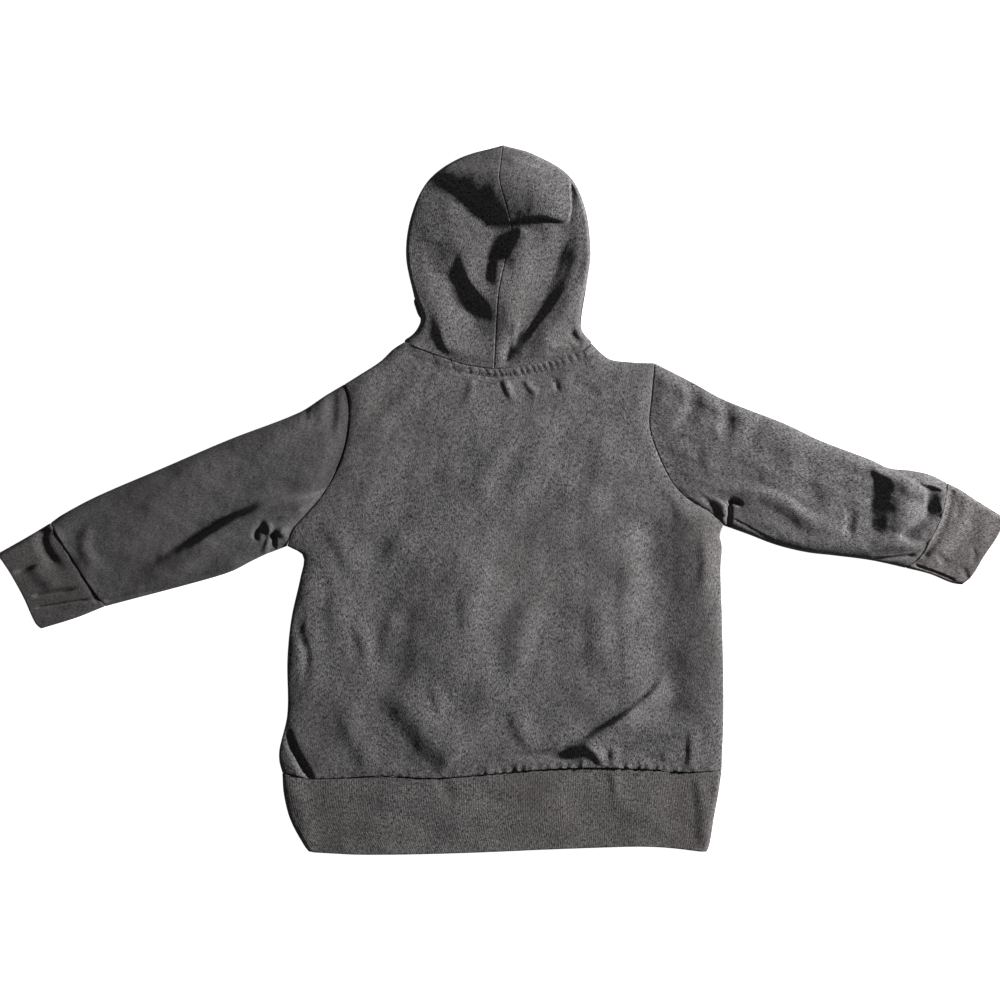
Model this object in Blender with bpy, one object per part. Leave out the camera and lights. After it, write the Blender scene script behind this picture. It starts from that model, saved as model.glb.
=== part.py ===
"""Toddler's pullover hoodie in brushed sweatshirt cloth, laid flat with its back upwards.

Nine pieces, as a maker cuts them: front and back panel, two sleeves, two doubled rib
cuffs, a doubled rib hem band, and the two halves of the hood. Every piece is a wall of
cloth. The panels lie on each other, the sleeves, cuffs and hem band are flattened
tubes, and the hood is a hollow shell whose face opening lies against the surface, with
its crown flopped over its lower part.

Lengths are millimetres until a mesh is made. The origin is the middle of the garment
on the surface it lies on, +X points to the wearer's right, +Y to the hood, +Z up.
"""
from collections import namedtuple

import bpy
import numpy as np

MM = 0.001

# ---------------------------------------------------------------- cloth and seams
CLOTH = 2.0            # wall of the brushed sweatshirt cloth
RIB_CLOTH = 2.4        # wall of the doubled rib
SEAM_GAP = 0.3         # gap between two pieces that are sewn together
FOLD_RADIUS = 2.7      # half the height of a flattened tube at its folded edges
RIB_PITCH = 1.65       # one rib and one furrow of the 1x1 rib
RIB_HEIGHT = 0.35      # how far a rib stands above its furrow
RIB_FOLD_RADIUS = 3.0  # half the height of a rib tube at its folded edges
SLEEVE_EDGE_WIDTH = 9.0     # how far in from its folded edges a sleeve reaches its full height
RIB_EDGE_WIDTH = 4.0        # the same for a rib tube
LOWEST_CREST = 4.8          # a tube's top layer never sinks onto its lower one
LOWEST_RIB_CREST = 5.6
HOOD_NECK_REACH = 12.0      # how far from the neck the hood reaches its full height

# ---------------------------------------------------------------- heights of the top layer
SIDE_HEIGHT = CLOTH + SEAM_GAP + CLOTH      # back panel's outer face at the side seams
BODY_HEIGHT = 7.4                           # back panel away from its seams
ARMHOLE_HEIGHT = 5.6
NECK_HEIGHT = 8.6
HEM_SEAM_HEIGHT = 6.8
BAND_HEIGHT = 6.2
CUFF_HEIGHT = 7.4
HOOD_BASE = 11.0                            # what the heights in the hood's sections stand on
CROWN_STEP = 8.0                            # how far the crown takes to drop onto the hood's lower part
NECK_CORNER_LIFT = 1.6                      # the hood's edge passes under the back panel there
NECK_CORNER_REACH = 16.0
NECK_TURN_INSET = 1.2                       # from the panels' neck corner to the hood's
HEM_REACH, NECK_REACH = 16.0, 20.0          # from a seam to where the back panel has its full height
ARMHOLE_REACH, SIDE_REACH = 20.0, 14.0
# sizes along a form, each a share of its length and the size there
LEFT_SLEEVE_HEIGHTS = [(0.0, 5.6), (0.02, 6.0), (0.08, 7.8), (0.3, 9.2), (0.6, 8.4), (0.88, 7.6), (1.0, 8.0)]
RIGHT_SLEEVE_HEIGHTS = [(0.0, 5.6), (0.04, 6.1), (0.12, 7.2), (0.5, 9.6), (0.88, 10.0), (1.0, 8.0)]
HOOD_TURN_HEIGHTS = [(0.0, 1.0), (0.15, 5.0), (1.0, 5.0)]      # where the hood's outer edge turns under
HOOD_EDGE_WIDTHS = [(0.0, 16.0), (0.15, 8.0), (0.4, 5.0), (1.0, 5.0)]

# ---------------------------------------------------------------- seam lines and edges (x, y)
SHOULDER_LEFT = [(-118.5, 88.4), (-107.1, 95.5), (-91.1, 105.9), (-81.5, 115.1), (-73.2, 120.4)]
SHOULDER_RIGHT = [(118.1, 104.4), (99.8, 105.2), (83.8, 107.4), (75.5, 113.8), (70.1, 119.3)]
BACK_NECK = [(-73.2, 120.4), (-60.2, 114.7), (-41.1, 107.8), (-25.1, 102.9), (0.0, 100.2),
             (25.9, 103.3), (45.7, 108.6), (63.2, 114.3), (70.1, 119.3)]
FRONT_NECK = [(-73.2, 120.4), (-64.0, 98.0), (-40.0, 74.0), (-1.5, 65.0),
              (37.0, 74.0), (61.0, 98.0), (70.1, 119.3)]
ARMHOLE_LEFT = [(-118.5, 88.4), (-115.4, 76.2), (-115.1, 60.6), (-118.5, 39.6), (-125.7, 20.6),
                (-136.0, 3.0), (-148.2, -11.1), (-158.5, -23.2), (-162.3, -35.1)]
ARMHOLE_RIGHT = [(118.1, 104.4), (115.5, 76.2), (114.1, 57.5), (117.9, 42.4), (129.5, 16.8),
                 (138.7, 5.1), (149.4, -3.0), (160.0, -8.8), (170.3, -19.4)]
SIDE_LEFT = [(-162.3, -35.1), (-150.1, -42.7), (-152.4, -59.4), (-159.3, -90.7), (-162.3, -121.9),
             (-162.3, -163.1), (-168.4, -190.5), (-168.4, -199.6), (-166.1, -208.0)]
SIDE_RIGHT = [(170.3, -19.4), (167.6, -26.3), (169.5, -35.1), (168.4, -52.6), (169.5, -87.6),
              (170.7, -157.7), (169.2, -206.5)]
HEM_SEAM = [(-166.1, -208.0), (-144.0, -212.6), (-87.6, -210.8), (-52.6, -212.6), (-17.5, -210.3),
            (37.3, -205.7), (72.4, -204.7), (125.0, -206.5), (142.5, -208.0), (169.2, -206.5)]
BAND_SIDE_LEFT = [(-166.1, -208.0), (-165.0, -224.0), (-160.0, -243.8), (-149.4, -263.7),
                  (-145.5, -268.6)]
BAND_SIDE_RIGHT = [(169.2, -206.5), (166.9, -222.5), (163.4, -241.6), (160.0, -262.1),
                   (157.7, -268.6)]
HEM_EDGE = [(-145.5, -268.6), (-105.2, -270.5), (-35.1, -269.4), (72.4, -265.2), (118.1, -264.6),
            (157.7, -268.6)]

SLEEVE_UPPER_LEFT = [(-118.5, 88.4), (-132.6, 80.0), (-153.5, 66.7), (-205.7, 46.5), (-258.5, 23.9),
                     (-307.8, 2.7), (-333.8, -11.1), (-342.9, -17.5)]
SLEEVE_LOWER_LEFT = [(-162.3, -35.1), (-176.0, -40.4), (-188.2, -46.1), (-205.7, -54.9),
                     (-232.4, -62.9), (-282.7, -76.2), (-301.4, -81.2)]
CUFF_SEAM_LEFT = [(-342.9, -17.5), (-336.8, -28.6), (-326.6, -44.2), (-315.7, -61.3),
                  (-301.4, -81.2)]
CUFF_UPPER_LEFT = [(-342.9, -17.5), (-360.0, -27.8), (-383.5, -41.1)]
CUFF_LOWER_LEFT = [(-301.4, -81.2), (-323.1, -89.9), (-350.5, -98.3)]
CUFF_MOUTH_LEFT = [(-383.5, -41.1), (-374.1, -54.9), (-363.5, -73.9), (-354.7, -93.0),
                   (-350.5, -98.3)]

SLEEVE_UPPER_RIGHT = [(118.1, 104.4), (147.1, 89.5), (170.7, 76.6), (217.2, 58.3), (244.6, 45.3),
                      (283.5, 30.5), (296.4, 24.5), (313.9, 22.5), (327.7, 19.4), (341.0, 13.0)]
SLEEVE_LOWER_RIGHT = [(170.3, -19.4), (189.0, -26.1), (210.7, -34.3), (233.9, -39.9),
                      (254.5, -42.3), (283.5, -46.1), (309.4, -51.8)]
CUFF_SEAM_RIGHT = [(341.0, 13.0), (339.1, 1.5), (335.3, -14.5), (328.4, -29.0), (321.6, -41.9),
                   (309.4, -51.8)]
CUFF_UPPER_RIGHT = [(341.0, 13.0), (351.7, 7.6), (361.9, 0.8), (383.5, -12.6)]
CUFF_LOWER_RIGHT = [(309.4, -51.8), (327.7, -56.4), (343.7, -62.9), (352.8, -64.8)]
CUFF_MOUTH_RIGHT = [(383.5, -12.6), (381.0, -24.4), (368.0, -44.6), (360.4, -57.1),
                    (352.8, -64.8)]

HOOD_EDGE_LEFT = [(-73.2, 120.4), (-64.0, 129.2), (-60.4, 138.7), (-65.5, 156.2), (-71.6, 185.9),
                  (-67.8, 216.0), (-54.9, 243.1), (-31.5, 260.2), (2.3, 270.5)]
HOOD_EDGE_RIGHT = [(70.1, 119.3), (62.5, 129.5), (61.7, 138.7), (67.1, 171.1), (69.1, 189.0),
                   (65.1, 221.5), (52.8, 246.9), (25.6, 263.7), (2.3, 270.5)]
HOOD_SEAM = [(-4.6, 100.6), (-3.0, 130.3), (-0.9, 159.3), (4.6, 184.8), (9.0, 204.2),
             (5.2, 221.7), (-0.5, 243.1), (0.4, 255.3), (2.3, 270.5)]
FACE_EDGE_LEFT = [(-1.5, 65.0), (-19.0, 95.0), (-25.0, 130.0), (-27.0, 170.0), (-25.0, 205.0),
                  (-15.0, 232.0), (2.3, 243.0)]
FACE_EDGE_RIGHT = [(-1.5, 65.0), (17.0, 95.0), (23.0, 130.0), (26.0, 170.0), (25.0, 205.0),
                   (17.0, 232.0), (2.3, 243.0)]

# ---------------------------------------------------------------- folds
# A fold is a soft ridge (or trough, where its height is below 0) of the top layer that
# runs along a bent line and fades out at both ends.
Fold = namedtuple("Fold", "start middle end height width")

BODY_FOLDS = [
    Fold((54.0, -196.0), (100.0, -167.0), (128.0, -140.0), 4.0, 15.0),
    Fold((44.0, -186.0), (78.0, -166.0), (113.0, -137.0), -1.6, 12.0),
    Fold((62.0, -187.0), (70.0, -195.0), (80.0, -203.0), 2.0, 10.0),
    Fold((134.0, -37.0), (155.0, -134.0), (154.0, -177.0), 2.2, 20.0),
    Fold((-80.0, -145.0), (-55.0, -179.0), (-32.0, -202.0), 3.0, 20.0),
    Fold((-79.0, -82.0), (-86.0, -106.0), (-91.0, -125.0), 1.8, 16.0),
    Fold((-24.0, -65.0), (-25.0, -86.0), (-24.0, -107.0), 1.4, 16.0),
    Fold((-149.0, -81.0), (-153.0, -98.0), (-149.0, -145.0), -1.4, 12.0),
    Fold((-162.0, -173.0), (-154.0, -193.0), (-144.0, -210.0), -1.6, 12.0),
    Fold((4.0, 46.0), (-8.0, 23.0), (-21.0, -4.0), 1.4, 18.0),
    Fold((-55.0, 94.0), (-79.0, 72.0), (-110.0, 40.0), 1.4, 18.0),
    Fold((46.0, 53.0), (8.0, 2.0), (-23.0, -46.0), 1.4, 20.0),
    Fold((-61.0, 0.0), (-78.0, -34.0), (-101.0, -76.0), 1.4, 18.0),
    Fold((107.0, -30.0), (98.0, -69.0), (76.0, -107.0), 1.4, 18.0),
    Fold((2.0, 92.0), (8.0, 82.0), (13.0, 72.0), 1.4, 9.0),
    Fold((19.0, 92.0), (24.0, 86.0), (30.0, 79.0), 1.2, 9.0),
]
LEFT_SLEEVE_FOLDS = [
    Fold((-136.0, 2.0), (-212.0, -24.0), (-283.0, -57.0), 4.2, 13.0),
    Fold((-146.0, 11.0), (-205.0, -9.0), (-282.0, -48.0), -1.8, 14.0),
    Fold((-182.0, 37.0), (-240.0, 14.0), (-297.0, -15.0), 1.5, 22.0),
    Fold((-174.0, -16.0), (-176.0, -26.0), (-178.0, -36.0), -1.8, 11.0),
    Fold((-129.0, 78.0), (-130.0, 66.0), (-133.0, 46.0), -2.0, 10.0),
    Fold((-139.0, 62.0), (-160.0, 52.0), (-190.0, 37.0), 1.6, 16.0),
]
RIGHT_SLEEVE_FOLDS = [
    Fold((144.0, 93.0), (147.0, 72.0), (128.0, 55.0), -2.0, 11.0),
    Fold((173.0, 82.0), (174.0, 62.0), (168.0, 46.0), -2.0, 11.0),
    Fold((174.0, 3.0), (206.0, 3.0), (262.0, -25.0), 2.0, 13.0),
    Fold((268.0, -4.0), (266.0, -16.0), (264.0, -30.0), -1.8, 11.0),
    Fold((151.0, 4.0), (160.0, -4.0), (168.0, -13.0), -1.2, 9.0),
]
LEFT_CUFF_FOLDS = [
    Fold((-347.0, -22.0), (-346.0, -42.0), (-331.0, -56.0), -1.6, 11.0),
    Fold((-358.0, -46.0), (-350.0, -57.0), (-335.0, -69.0), 1.2, 11.0),
]
RIGHT_CUFF_FOLDS = [
    Fold((338.0, 14.0), (334.0, -12.0), (316.0, -50.0), 3.8, 16.0),
    Fold((353.0, 6.0), (350.0, -18.0), (329.0, -47.0), 1.4, 10.0),
]
BAND_FOLDS = [
    Fold((-162.0, -214.0), (-152.0, -236.0), (-145.0, -262.0), 0.9, 12.0),
    Fold((151.0, -212.0), (155.0, -236.0), (155.0, -262.0), 1.0, 12.0),
    Fold((-114.0, -229.0), (-88.0, -238.0), (-57.0, -233.0), -0.7, 14.0),
]

# A section runs across a form at one y. Each named crest or valley is crossed at (x, height).
HoodSection = namedtuple("HoodSection", "y left notch lobe valley foot bulge pocket seam fold gutter "
                                        "wall crest shoulder right")
CrownSection = namedtuple("CrownSection", "y left flank seam crest shoulder right")
HumpSection = namedtuple("HumpSection", "y start foot flank crest brink pit seam")

HOOD_LOWER = [
    HoodSection(240, (-54.9, -2.6), (-53.3, -2.4), (-50.3, -2), (-48, -1.7), (-45.7, -1.4), (-41.1, -0.9),
            (-22.9, 0.6), (0, 2.5), (34.3, 8), (51.8, 9.5), (55.6, 11), (59.4, 12.5), (62.5, 12.5),
            (67.1, 11.5)),
    HoodSection(221, (-65.5, -1.4), (-64, -1.2), (-61, -0.7), (-57.9, -0.3), (-45.7, 1.3), (-36.6, 2.2),
            (-19.8, 2.2), (2.3, 3.5), (36.6, 10.5), (52.6, 11), (55.6, 11.5), (59.4, 12), (62.5, 12),
            (67.1, 11.5)),
    HoodSection(201.9, (-70.1, -0.5), (-68.6, -0.3), (-66.3, 0), (-64, 0.3), (-45.7, 2.6), (-35.1, 3.6),
            (-4.6, 2.6), (17.5, 8.4), (36.6, 11), (51.8, 9.7), (55.6, 10.1), (61, 10.8), (64, 10.8),
            (68.6, 9.8)),
    HoodSection(190.5, (-70.1, 0.7), (-67.8, 0.8), (-59.4, 1), (-54.9, 0.7), (-38.1, 3.2), (-29.7, 4.6),
            (-6.1, 2.8), (15.2, 9.2), (25.9, 9.9), (46.5, 7.2), (51.8, 8.5), (60.2, 10.5), (64.8, 10.3),
            (68.6, 9.6)),
    HoodSection(179.1, (-70.1, 0.7), (-67.8, 1), (-61, 1.1), (-53.3, 0.6), (-33.5, 3), (-27.4, 5.2),
            (-9.1, 3.7), (-0.8, 6), (13, 8.6), (41.9, 4.6), (49.5, 6.5), (58.7, 8.9), (64, 8.8),
            (67.8, 8.2)),
    HoodSection(167.6, (-68.6, 0.6), (-66.3, 1), (-54.9, 1.6), (-39.6, 0.4), (-29, 1.9), (-22.9, 5.3),
            (-12.2, 4.9), (-2.3, 7.4), (7.6, 8.4), (37.3, 4), (44.2, 5.6), (55.6, 8.5), (61.7, 8.5),
            (66.3, 7.4)),
    HoodSection(156.2, (-66.3, 0.3), (-64, 0.6), (-52.6, 2), (-35.1, 0.7), (-22.1, 2.6), (-14.5, 7),
            (-7.6, 7.6), (-0.8, 8.2), (4.6, 8.4), (32.8, 3.6), (38.1, 4.2), (48, 8.4), (55.6, 9.2),
            (64, 7)),
    HoodSection(144.8, (-63.2, 0.2), (-60.2, 0.6), (-48.8, 1.9), (-25.9, -0.5), (-14.5, 1), (-6.9, 4.9),
            (-2.3, 5.8), (0.8, 6.3), (5.3, 6.7), (25.1, 3), (30.5, 3.2), (40.4, 7.3), (49.5, 8.4),
            (61.7, 4.6)),
    HoodSection(133.3, (-66.3, -1.4), (-57.9, -1.4), (-44.2, 2.5), (-18.3, 0.1), (-11.4, 1.2), (-4.6, 2.6),
            (-2.3, 3), (0, 3.4), (6.9, 4.1), (19.8, 1.9), (24.4, 2.1), (30.5, 4.9), (40.4, 5.8),
            (57.9, 2.2)),
    HoodSection(121.9, (-67.8, -2.2), (-55.6, -2.4), (-42.7, 1.7), (-13.7, -0.7), (-9.1, -0.5),
            (-5.3, -0.2), (-3, -0.1), (0, 0.3), (6.1, 0.5), (10.7, -0.9), (16, -0.2), (22.9, 2.5),
            (35.1, 4.3), (52.6, -0.4)),
    HoodSection(110.5, (-72.4, -2.6), (-48, -2.6), (-36.6, 0.6), (-9.9, -1.2), (-6.9, -1.1), (-4.6, -1),
            (-2.3, -0.9), (-0.8, -0.6), (3, -0.8), (8.4, -2.2), (12.2, -1.5), (17.5, 0.2), (39.6, 1.8),
            (54.9, -1.5)),
    HoodSection(98.3, (-76.2, -3), (-41.1, -3), (-29, -1), (-8.4, -1.6), (-6.1, -1.6), (-3.8, -1.5),
            (-2.3, -1.5), (0, -1.4), (3.8, -1.4), (9.1, -2), (13.7, -1.5), (21.3, -0.8), (41.9, -0.4),
            (64.8, -2)),
]
HOOD_CROWN = [
    CrownSection(268.2, (-16.8, -0.6), (-7.6, 0.4), (2.3, 1.3), (15.2, 1.6), (22.9, 1.2), (31.2, 0.2)),
    CrownSection(259.1, (-32, -1.2), (-16.8, 2), (1.5, 5), (15.2, 6), (25.1, 5), (36.6, 1)),
    CrownSection(247.7, (-48, -1.7), (-25.9, 5.2), (-4.6, 12), (18.3, 14.2), (34.3, 12.4), (50.3, 9)),
    CrownSection(236.2, (-39.6, -0.9), (-15.2, 7.8), (0, 13.2), (28.2, 16.4), (39.6, 15.6), (54.9, 12.8)),
    CrownSection(224.8, (-19.8, 2.4), (-2.3, 9.4), (5.3, 12.2), (32.8, 16.8), (42.7, 16), (52.6, 13)),
    CrownSection(213.4, (-3, 4.6), (3, 7.4), (7.6, 9.6), (35.1, 15.6), (43.4, 14.8), (51.1, 13.2)),
    CrownSection(205.7, (0, 5), (6.1, 7.8), (10.7, 9.8), (35.1, 15), (43.4, 14), (50.3, 12.4)),
]
CROWN_EDGE = np.array([(-57.9, 254.5), (-48, 246.9), (-38.1, 238.5), (-27.4, 230.1), (-17.5, 222.5),
            (-7.6, 215.6), (1.5, 211.1), (10.7, 212.2), (21.3, 214.1), (31.2, 214.5), (39.6, 213),
            (47.2, 211.1), (51.8, 212.6), (53.7, 221), (53.7, 232.4), (53, 245.4), (50.3, 259.1),
            (47.2, 268.2)])

SLEEVE_HUMP = [
    HumpSection(36.6, (275.8, 0), (280.4, 0), (286.5, 0), (292.6, 0), (296.4, 0), (299.5, 0), (337.6, 1.5)),
    HumpSection(24.4, (275.8, 0), (280.4, 0.2), (286.5, 2), (292.6, 2.8), (296.4, 2.6), (299.5, 0.2),
            (337.6, 3)),
    HumpSection(15.2, (275.8, 0), (284.2, -0.3), (299.5, 5.6), (307.1, 6.6), (310.9, 6.6), (315.5, 3.5),
            (337.6, 4)),
    HumpSection(6.1, (275.8, 0), (285, 0), (301, 6.2), (310.9, 7.8), (322.3, 6.5), (325.4, 1.5),
            (336, 4.5)),
    HumpSection(-3.8, (275.8, 0), (281.2, -0.2), (296.4, 5.2), (304.8, 6.8), (323.1, 1.8), (325.4, -1),
            (336, 4.4)),
    HumpSection(-11.4, (275.8, 0), (281.2, 0), (296.4, 5.2), (304.8, 6.8), (320.8, 2), (324.6, -1.2),
            (339.1, 4)),
    HumpSection(-19.1, (275.8, 0), (281.9, 0), (295.7, 4.6), (304, 5.4), (312.4, 4), (315.5, 0.5),
            (326.1, 3)),
    HumpSection(-26.7, (275.8, 0), (284.2, 0), (296.4, 2), (301.8, 2.4), (304, 1.8), (307.1, -0.5),
            (320.8, 2.8)),
    HumpSection(-34.3, (275.8, 0), (278.9, 0), (289.6, 1.6), (304.8, 3), (309.4, 3.2), (313.2, 2.4),
            (326.9, 0.8)),
    HumpSection(-41.9, (275.8, 0), (280.4, 0), (286.5, -0.4), (295.7, -0.8), (304.8, -1), (310.9, -1.1),
            (324.6, -1.2)),
    HumpSection(-50.3, (275.8, 0), (280.4, 0), (286.5, 0), (292.6, 0), (296.4, 0), (299.5, 0), (322.3, 0)),
]

# ---------------------------------------------------------------- how finely each piece is divided
SIDE_ROWS, ARMHOLE_ROWS = 14, 12
SEAM_COLUMNS = 12                   # across a sleeve or cuff; also along an armhole
SHOULDER_COLUMNS, NECK_COLUMNS = 5, 18
HEM_COLUMNS = 2 * SHOULDER_COLUMNS + NECK_COLUMNS
SLEEVE_ROWS = 22
EDGE_SHARES = (0.012, 0.045)        # extra columns beside a sleeve's folded edges
CUFF_ROWS, BAND_ROWS = 2, 3
HOOD_ROWS, HOOD_TOP_COLUMNS, HOOD_UNDER_COLUMNS = 26, 15, 6
HOOD_CROWN_ROWS = 6                 # over which the hood's points spread out at the crown
SPAN_STEPS, FOLD_STEPS = 12, 24     # points worked out on each span of a line, and along a fold
LINE_SAMPLES, SECTION_SAMPLES = 200, 200
HOOD_SAMPLES = 48
NECK_HASTE = 4                      # how soon the hood's underside leaves the shape of the front neck
CALMING_PASSES = 2
FOLD_END_SHARE = 0.35               # of a fold's height that is left at its ends
SHARP_EDGE = np.radians(50.0)

# red, green and blue of each cloth
BODY_CLOTH_COLOUR = (0.098, 0.095, 0.098)
RIB_COLOUR = (0.097, 0.092, 0.093)
CLOTH_ROUGHNESS = 0.95


def smooth_line(points, count):
    """Return count + 1 evenly spaced points on a smooth curve through the given points."""
    knots = np.array(points, dtype=float)
    padded = np.vstack([2 * knots[0] - knots[1], knots, 2 * knots[-1] - knots[-2]])
    steps = np.linspace(0.0, 1.0, SPAN_STEPS + 1)[:-1, None]
    spans = []
    for before, start, end, after in zip(padded, padded[1:], padded[2:], padded[3:]):
        reach = np.linalg.norm(end - start)
        leave = (end - before) * reach / (reach + np.linalg.norm(start - before))
        arrive = (after - start) * reach / (reach + np.linalg.norm(after - end))
        spans.append((2 * steps**3 - 3 * steps**2 + 1) * start + (steps**3 - 2 * steps**2 + steps) * leave
                     + (3 * steps**2 - 2 * steps**3) * end + (steps**3 - steps**2) * arrive)
    line = np.vstack(spans + [knots[-1:]])
    return evenly(line, count)


def evenly(line, count):
    """Return count + 1 points spaced evenly by length along a line of points."""
    lengths = np.concatenate([[0.0], np.cumsum(np.linalg.norm(np.diff(line, axis=0), axis=1))])
    wanted = np.linspace(0.0, lengths[-1], count + 1)
    return np.column_stack([np.interp(wanted, lengths, line[:, axis]) for axis in range(line.shape[1])])


def joined(*lines):
    """Put lines end to end, keeping each shared point once."""
    return np.vstack([lines[0]] + [line[1:] for line in lines[1:]])


def moved(line, distance):
    """Move a line sideways in plan, to its left seen along its run where distance is above 0."""
    run = np.gradient(line, axis=0)
    run /= np.linalg.norm(run, axis=1)[:, None]
    return line + distance * np.column_stack([-run[:, 1], run[:, 0]])


def patch(bottom, top, left, right, haste=1):
    """Fill the four lines round a panel with a grid of plan points, rows from bottom to top.

    With more haste, the rows leave the shape of the bottom line sooner.
    """
    across = np.linspace(0.0, 1.0, len(bottom))[None, :, None]
    along = 1.0 - (1.0 - np.linspace(0.0, 1.0, len(left))[:, None, None]) ** haste
    between_rows = (1 - along) * bottom[None] + along * top[None]
    between_columns = (1 - across) * left[:, None] + across * right[:, None]
    corners = ((1 - along) * ((1 - across) * bottom[0] + across * bottom[-1])
               + along * ((1 - across) * top[0] + across * top[-1]))
    return between_rows + between_columns - corners


def rounding(distance, width):
    """Rise of a quarter round, from 0 at an edge to 1 at the given width from it."""
    reach = np.clip(distance / width, 0.0, 1.0)
    return np.sqrt(1.0 - (1.0 - reach) ** 2)


def eased(value):
    """Go from 0 to 1 with soft ends."""
    held = np.clip(value, 0.0, 1.0)
    return held * held * (3.0 - 2.0 * held)


def fold_heights(plan, folds):
    """Add up the heights of the folds at plan points, each fold fading at its ends."""
    total = np.zeros(plan.shape[:-1])
    for fold in folds:
        line = smooth_line([fold.start, fold.middle, fold.end], FOLD_STEPS)
        gaps = np.linalg.norm(plan[..., None, :] - line, axis=-1)
        place = gaps.argmin(axis=-1) / FOLD_STEPS
        across = np.clip(gaps.min(axis=-1) / fold.width, 0.0, 1.0)
        fade = FOLD_END_SHARE + (1.0 - FOLD_END_SHARE) * np.sin(np.pi * place)
        total += fold.height * fade * 0.5 * (1.0 + np.cos(np.pi * across))
    return total


def distance_to(plan, line):
    """Distance in plan from each point to a line of points."""
    return np.linalg.norm(plan[..., None, :] - line, axis=-1).min(axis=-1)


def side_of(plan, line):
    """The same distance, above 0 on the line's left and below 0 on its right."""
    nearest = np.linalg.norm(plan[..., None, :] - line, axis=-1).argmin(axis=-1)
    offset = plan - line[nearest]
    heading = np.gradient(line, axis=0)[nearest]
    across = heading[..., 0] * offset[..., 1] - heading[..., 1] * offset[..., 0]
    return distance_to(plan, line) * np.sign(across)


def flowing(knots, values, places):
    """Read a smooth curve through knots that never overshoots them; held level past its ends."""
    gaps = np.diff(knots, axis=0)
    slopes = np.diff(values, axis=0) / gaps
    product = slopes[:-1] * slopes[1:]
    alike = product > 0.0
    middle = np.where(alike, 2.0 * product / np.where(alike, slopes[:-1] + slopes[1:], 1.0), 0.0)
    slopes = np.concatenate([slopes[:1], middle, slopes[-1:]])
    index = (places >= knots[1:-1]).sum(axis=0)[None]

    def beside(table, step):
        return np.take_along_axis(table, index + step, axis=0)[0]

    gap, left = beside(gaps, 0), beside(knots, 0)
    start, end = beside(values, 0), beside(values, 1)
    leave, arrive = beside(slopes, 0), beside(slopes, 1)
    share = np.clip((places - left) / gap, 0.0, 1.0)
    return (start + (end - start) * eased(share) + gap * share * (1.0 - share)
            * ((1.0 - share) * leave - share * arrive))


def through_sections(plan, sections):
    """Height of a form at plan points, from sections across it: each a y and its (x, height) places."""
    table = np.array([section[1:] for section in sections][::-1])
    levels = np.array([section[0] for section in sections])[::-1, None]
    fine = np.linspace(levels[0, 0], levels[-1, 0], SECTION_SAMPLES)
    wanted = np.clip(plan[..., 1].ravel(), fine[0], fine[-1])
    knots = np.broadcast_to(levels, (len(levels), SECTION_SAMPLES))
    columns = []
    for column in range(table.shape[1]):
        for axis in (0, 1):
            values = np.broadcast_to(table[:, column, axis, None], knots.shape)
            columns.append(np.interp(wanted, fine, flowing(knots, values, fine)))
    columns = np.array(columns)
    return flowing(columns[0::2], columns[1::2], plan[..., 0].ravel()).reshape(plan.shape[:-1])


def cloth_material(name, colour):
    """Matt cloth of one colour."""
    material = bpy.data.materials.new(name)
    material.use_nodes = True
    shader = material.node_tree.nodes["Principled BSDF"]
    shader.inputs["Base Color"].default_value = (*colour, 1.0)
    shader.inputs["Roughness"].default_value = CLOTH_ROUGHNESS
    shader.inputs["Metallic"].default_value = 0.0
    material.diffuse_color = (*colour, 1.0)
    return material


def add_object(name, points, faces, colour):
    """Make one named object of points in millimetres, with a material of its own."""
    mesh = bpy.data.meshes.new(name)
    mesh.from_pydata((np.asarray(points) * MM).tolist(), [], faces)
    mesh.materials.append(cloth_material(name + "_cloth", colour))
    mesh.shade_smooth()
    mesh.set_sharp_from_angle(angle=SHARP_EDGE)
    garment_piece = bpy.data.objects.new(name, mesh)
    bpy.context.collection.objects.link(garment_piece)
    return garment_piece


def grid_faces(rows, columns, closed, first=0):
    """Quads of a grid of points stored row by row, closed into rings where asked."""
    faces = []
    for row in range(rows - 1):
        for column in range(columns if closed else columns - 1):
            beside = (column + 1) % columns
            faces.append((first + row * columns + column, first + row * columns + beside,
                          first + (row + 1) * columns + beside, first + (row + 1) * columns + column))
    return faces


def normals_of(grid, closed):
    """Unit normals of a grid of points, each the mean of the faces that meet there.

    Where the cloth rests on the surface they point straight down.
    """
    wrapped = np.concatenate([grid, grid[:, :1]], axis=1) if closed else grid
    rising = wrapped[1:, 1:] - wrapped[:-1, :-1]
    falling = wrapped[1:, :-1] - wrapped[:-1, 1:]
    face_normal = np.cross(rising, falling)
    total = np.zeros_like(wrapped)
    for rows in (slice(0, -1), slice(1, None)):
        for columns in (slice(0, -1), slice(1, None)):
            total[rows, columns] += face_normal
    if closed:
        total[:, 0] += total[:, -1]
        total = total[:, :-1]
    normals = total / np.linalg.norm(total, axis=-1)[..., None]
    normals[grid[..., 2] == 0.0] = (0.0, 0.0, -1.0)
    return normals


def calmed(normals):
    """Normals averaged with their neighbours, so that a wall keeps clear of itself where it turns."""
    for _ in range(CALMING_PASSES):
        beside = normals.copy()
        beside[1:-1] += normals[:-2] + normals[2:]
        beside[:, 1:-1] += normals[:, :-2] + normals[:, 2:]
        normals = beside / np.linalg.norm(beside, axis=-1)[..., None]
    return normals


def held_in_seam(normals, line):
    """Normals along a seam, with no part across it, so that the wall's rim stays on the seam."""
    run = np.gradient(line[:, :2], axis=0)
    run /= np.linalg.norm(run, axis=1)[:, None]
    along_seam = (normals[:, :2] * run).sum(axis=1)[:, None] * run
    held = np.column_stack([along_seam, normals[:, 2]])
    return held / np.linalg.norm(held, axis=1)[:, None]


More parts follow.
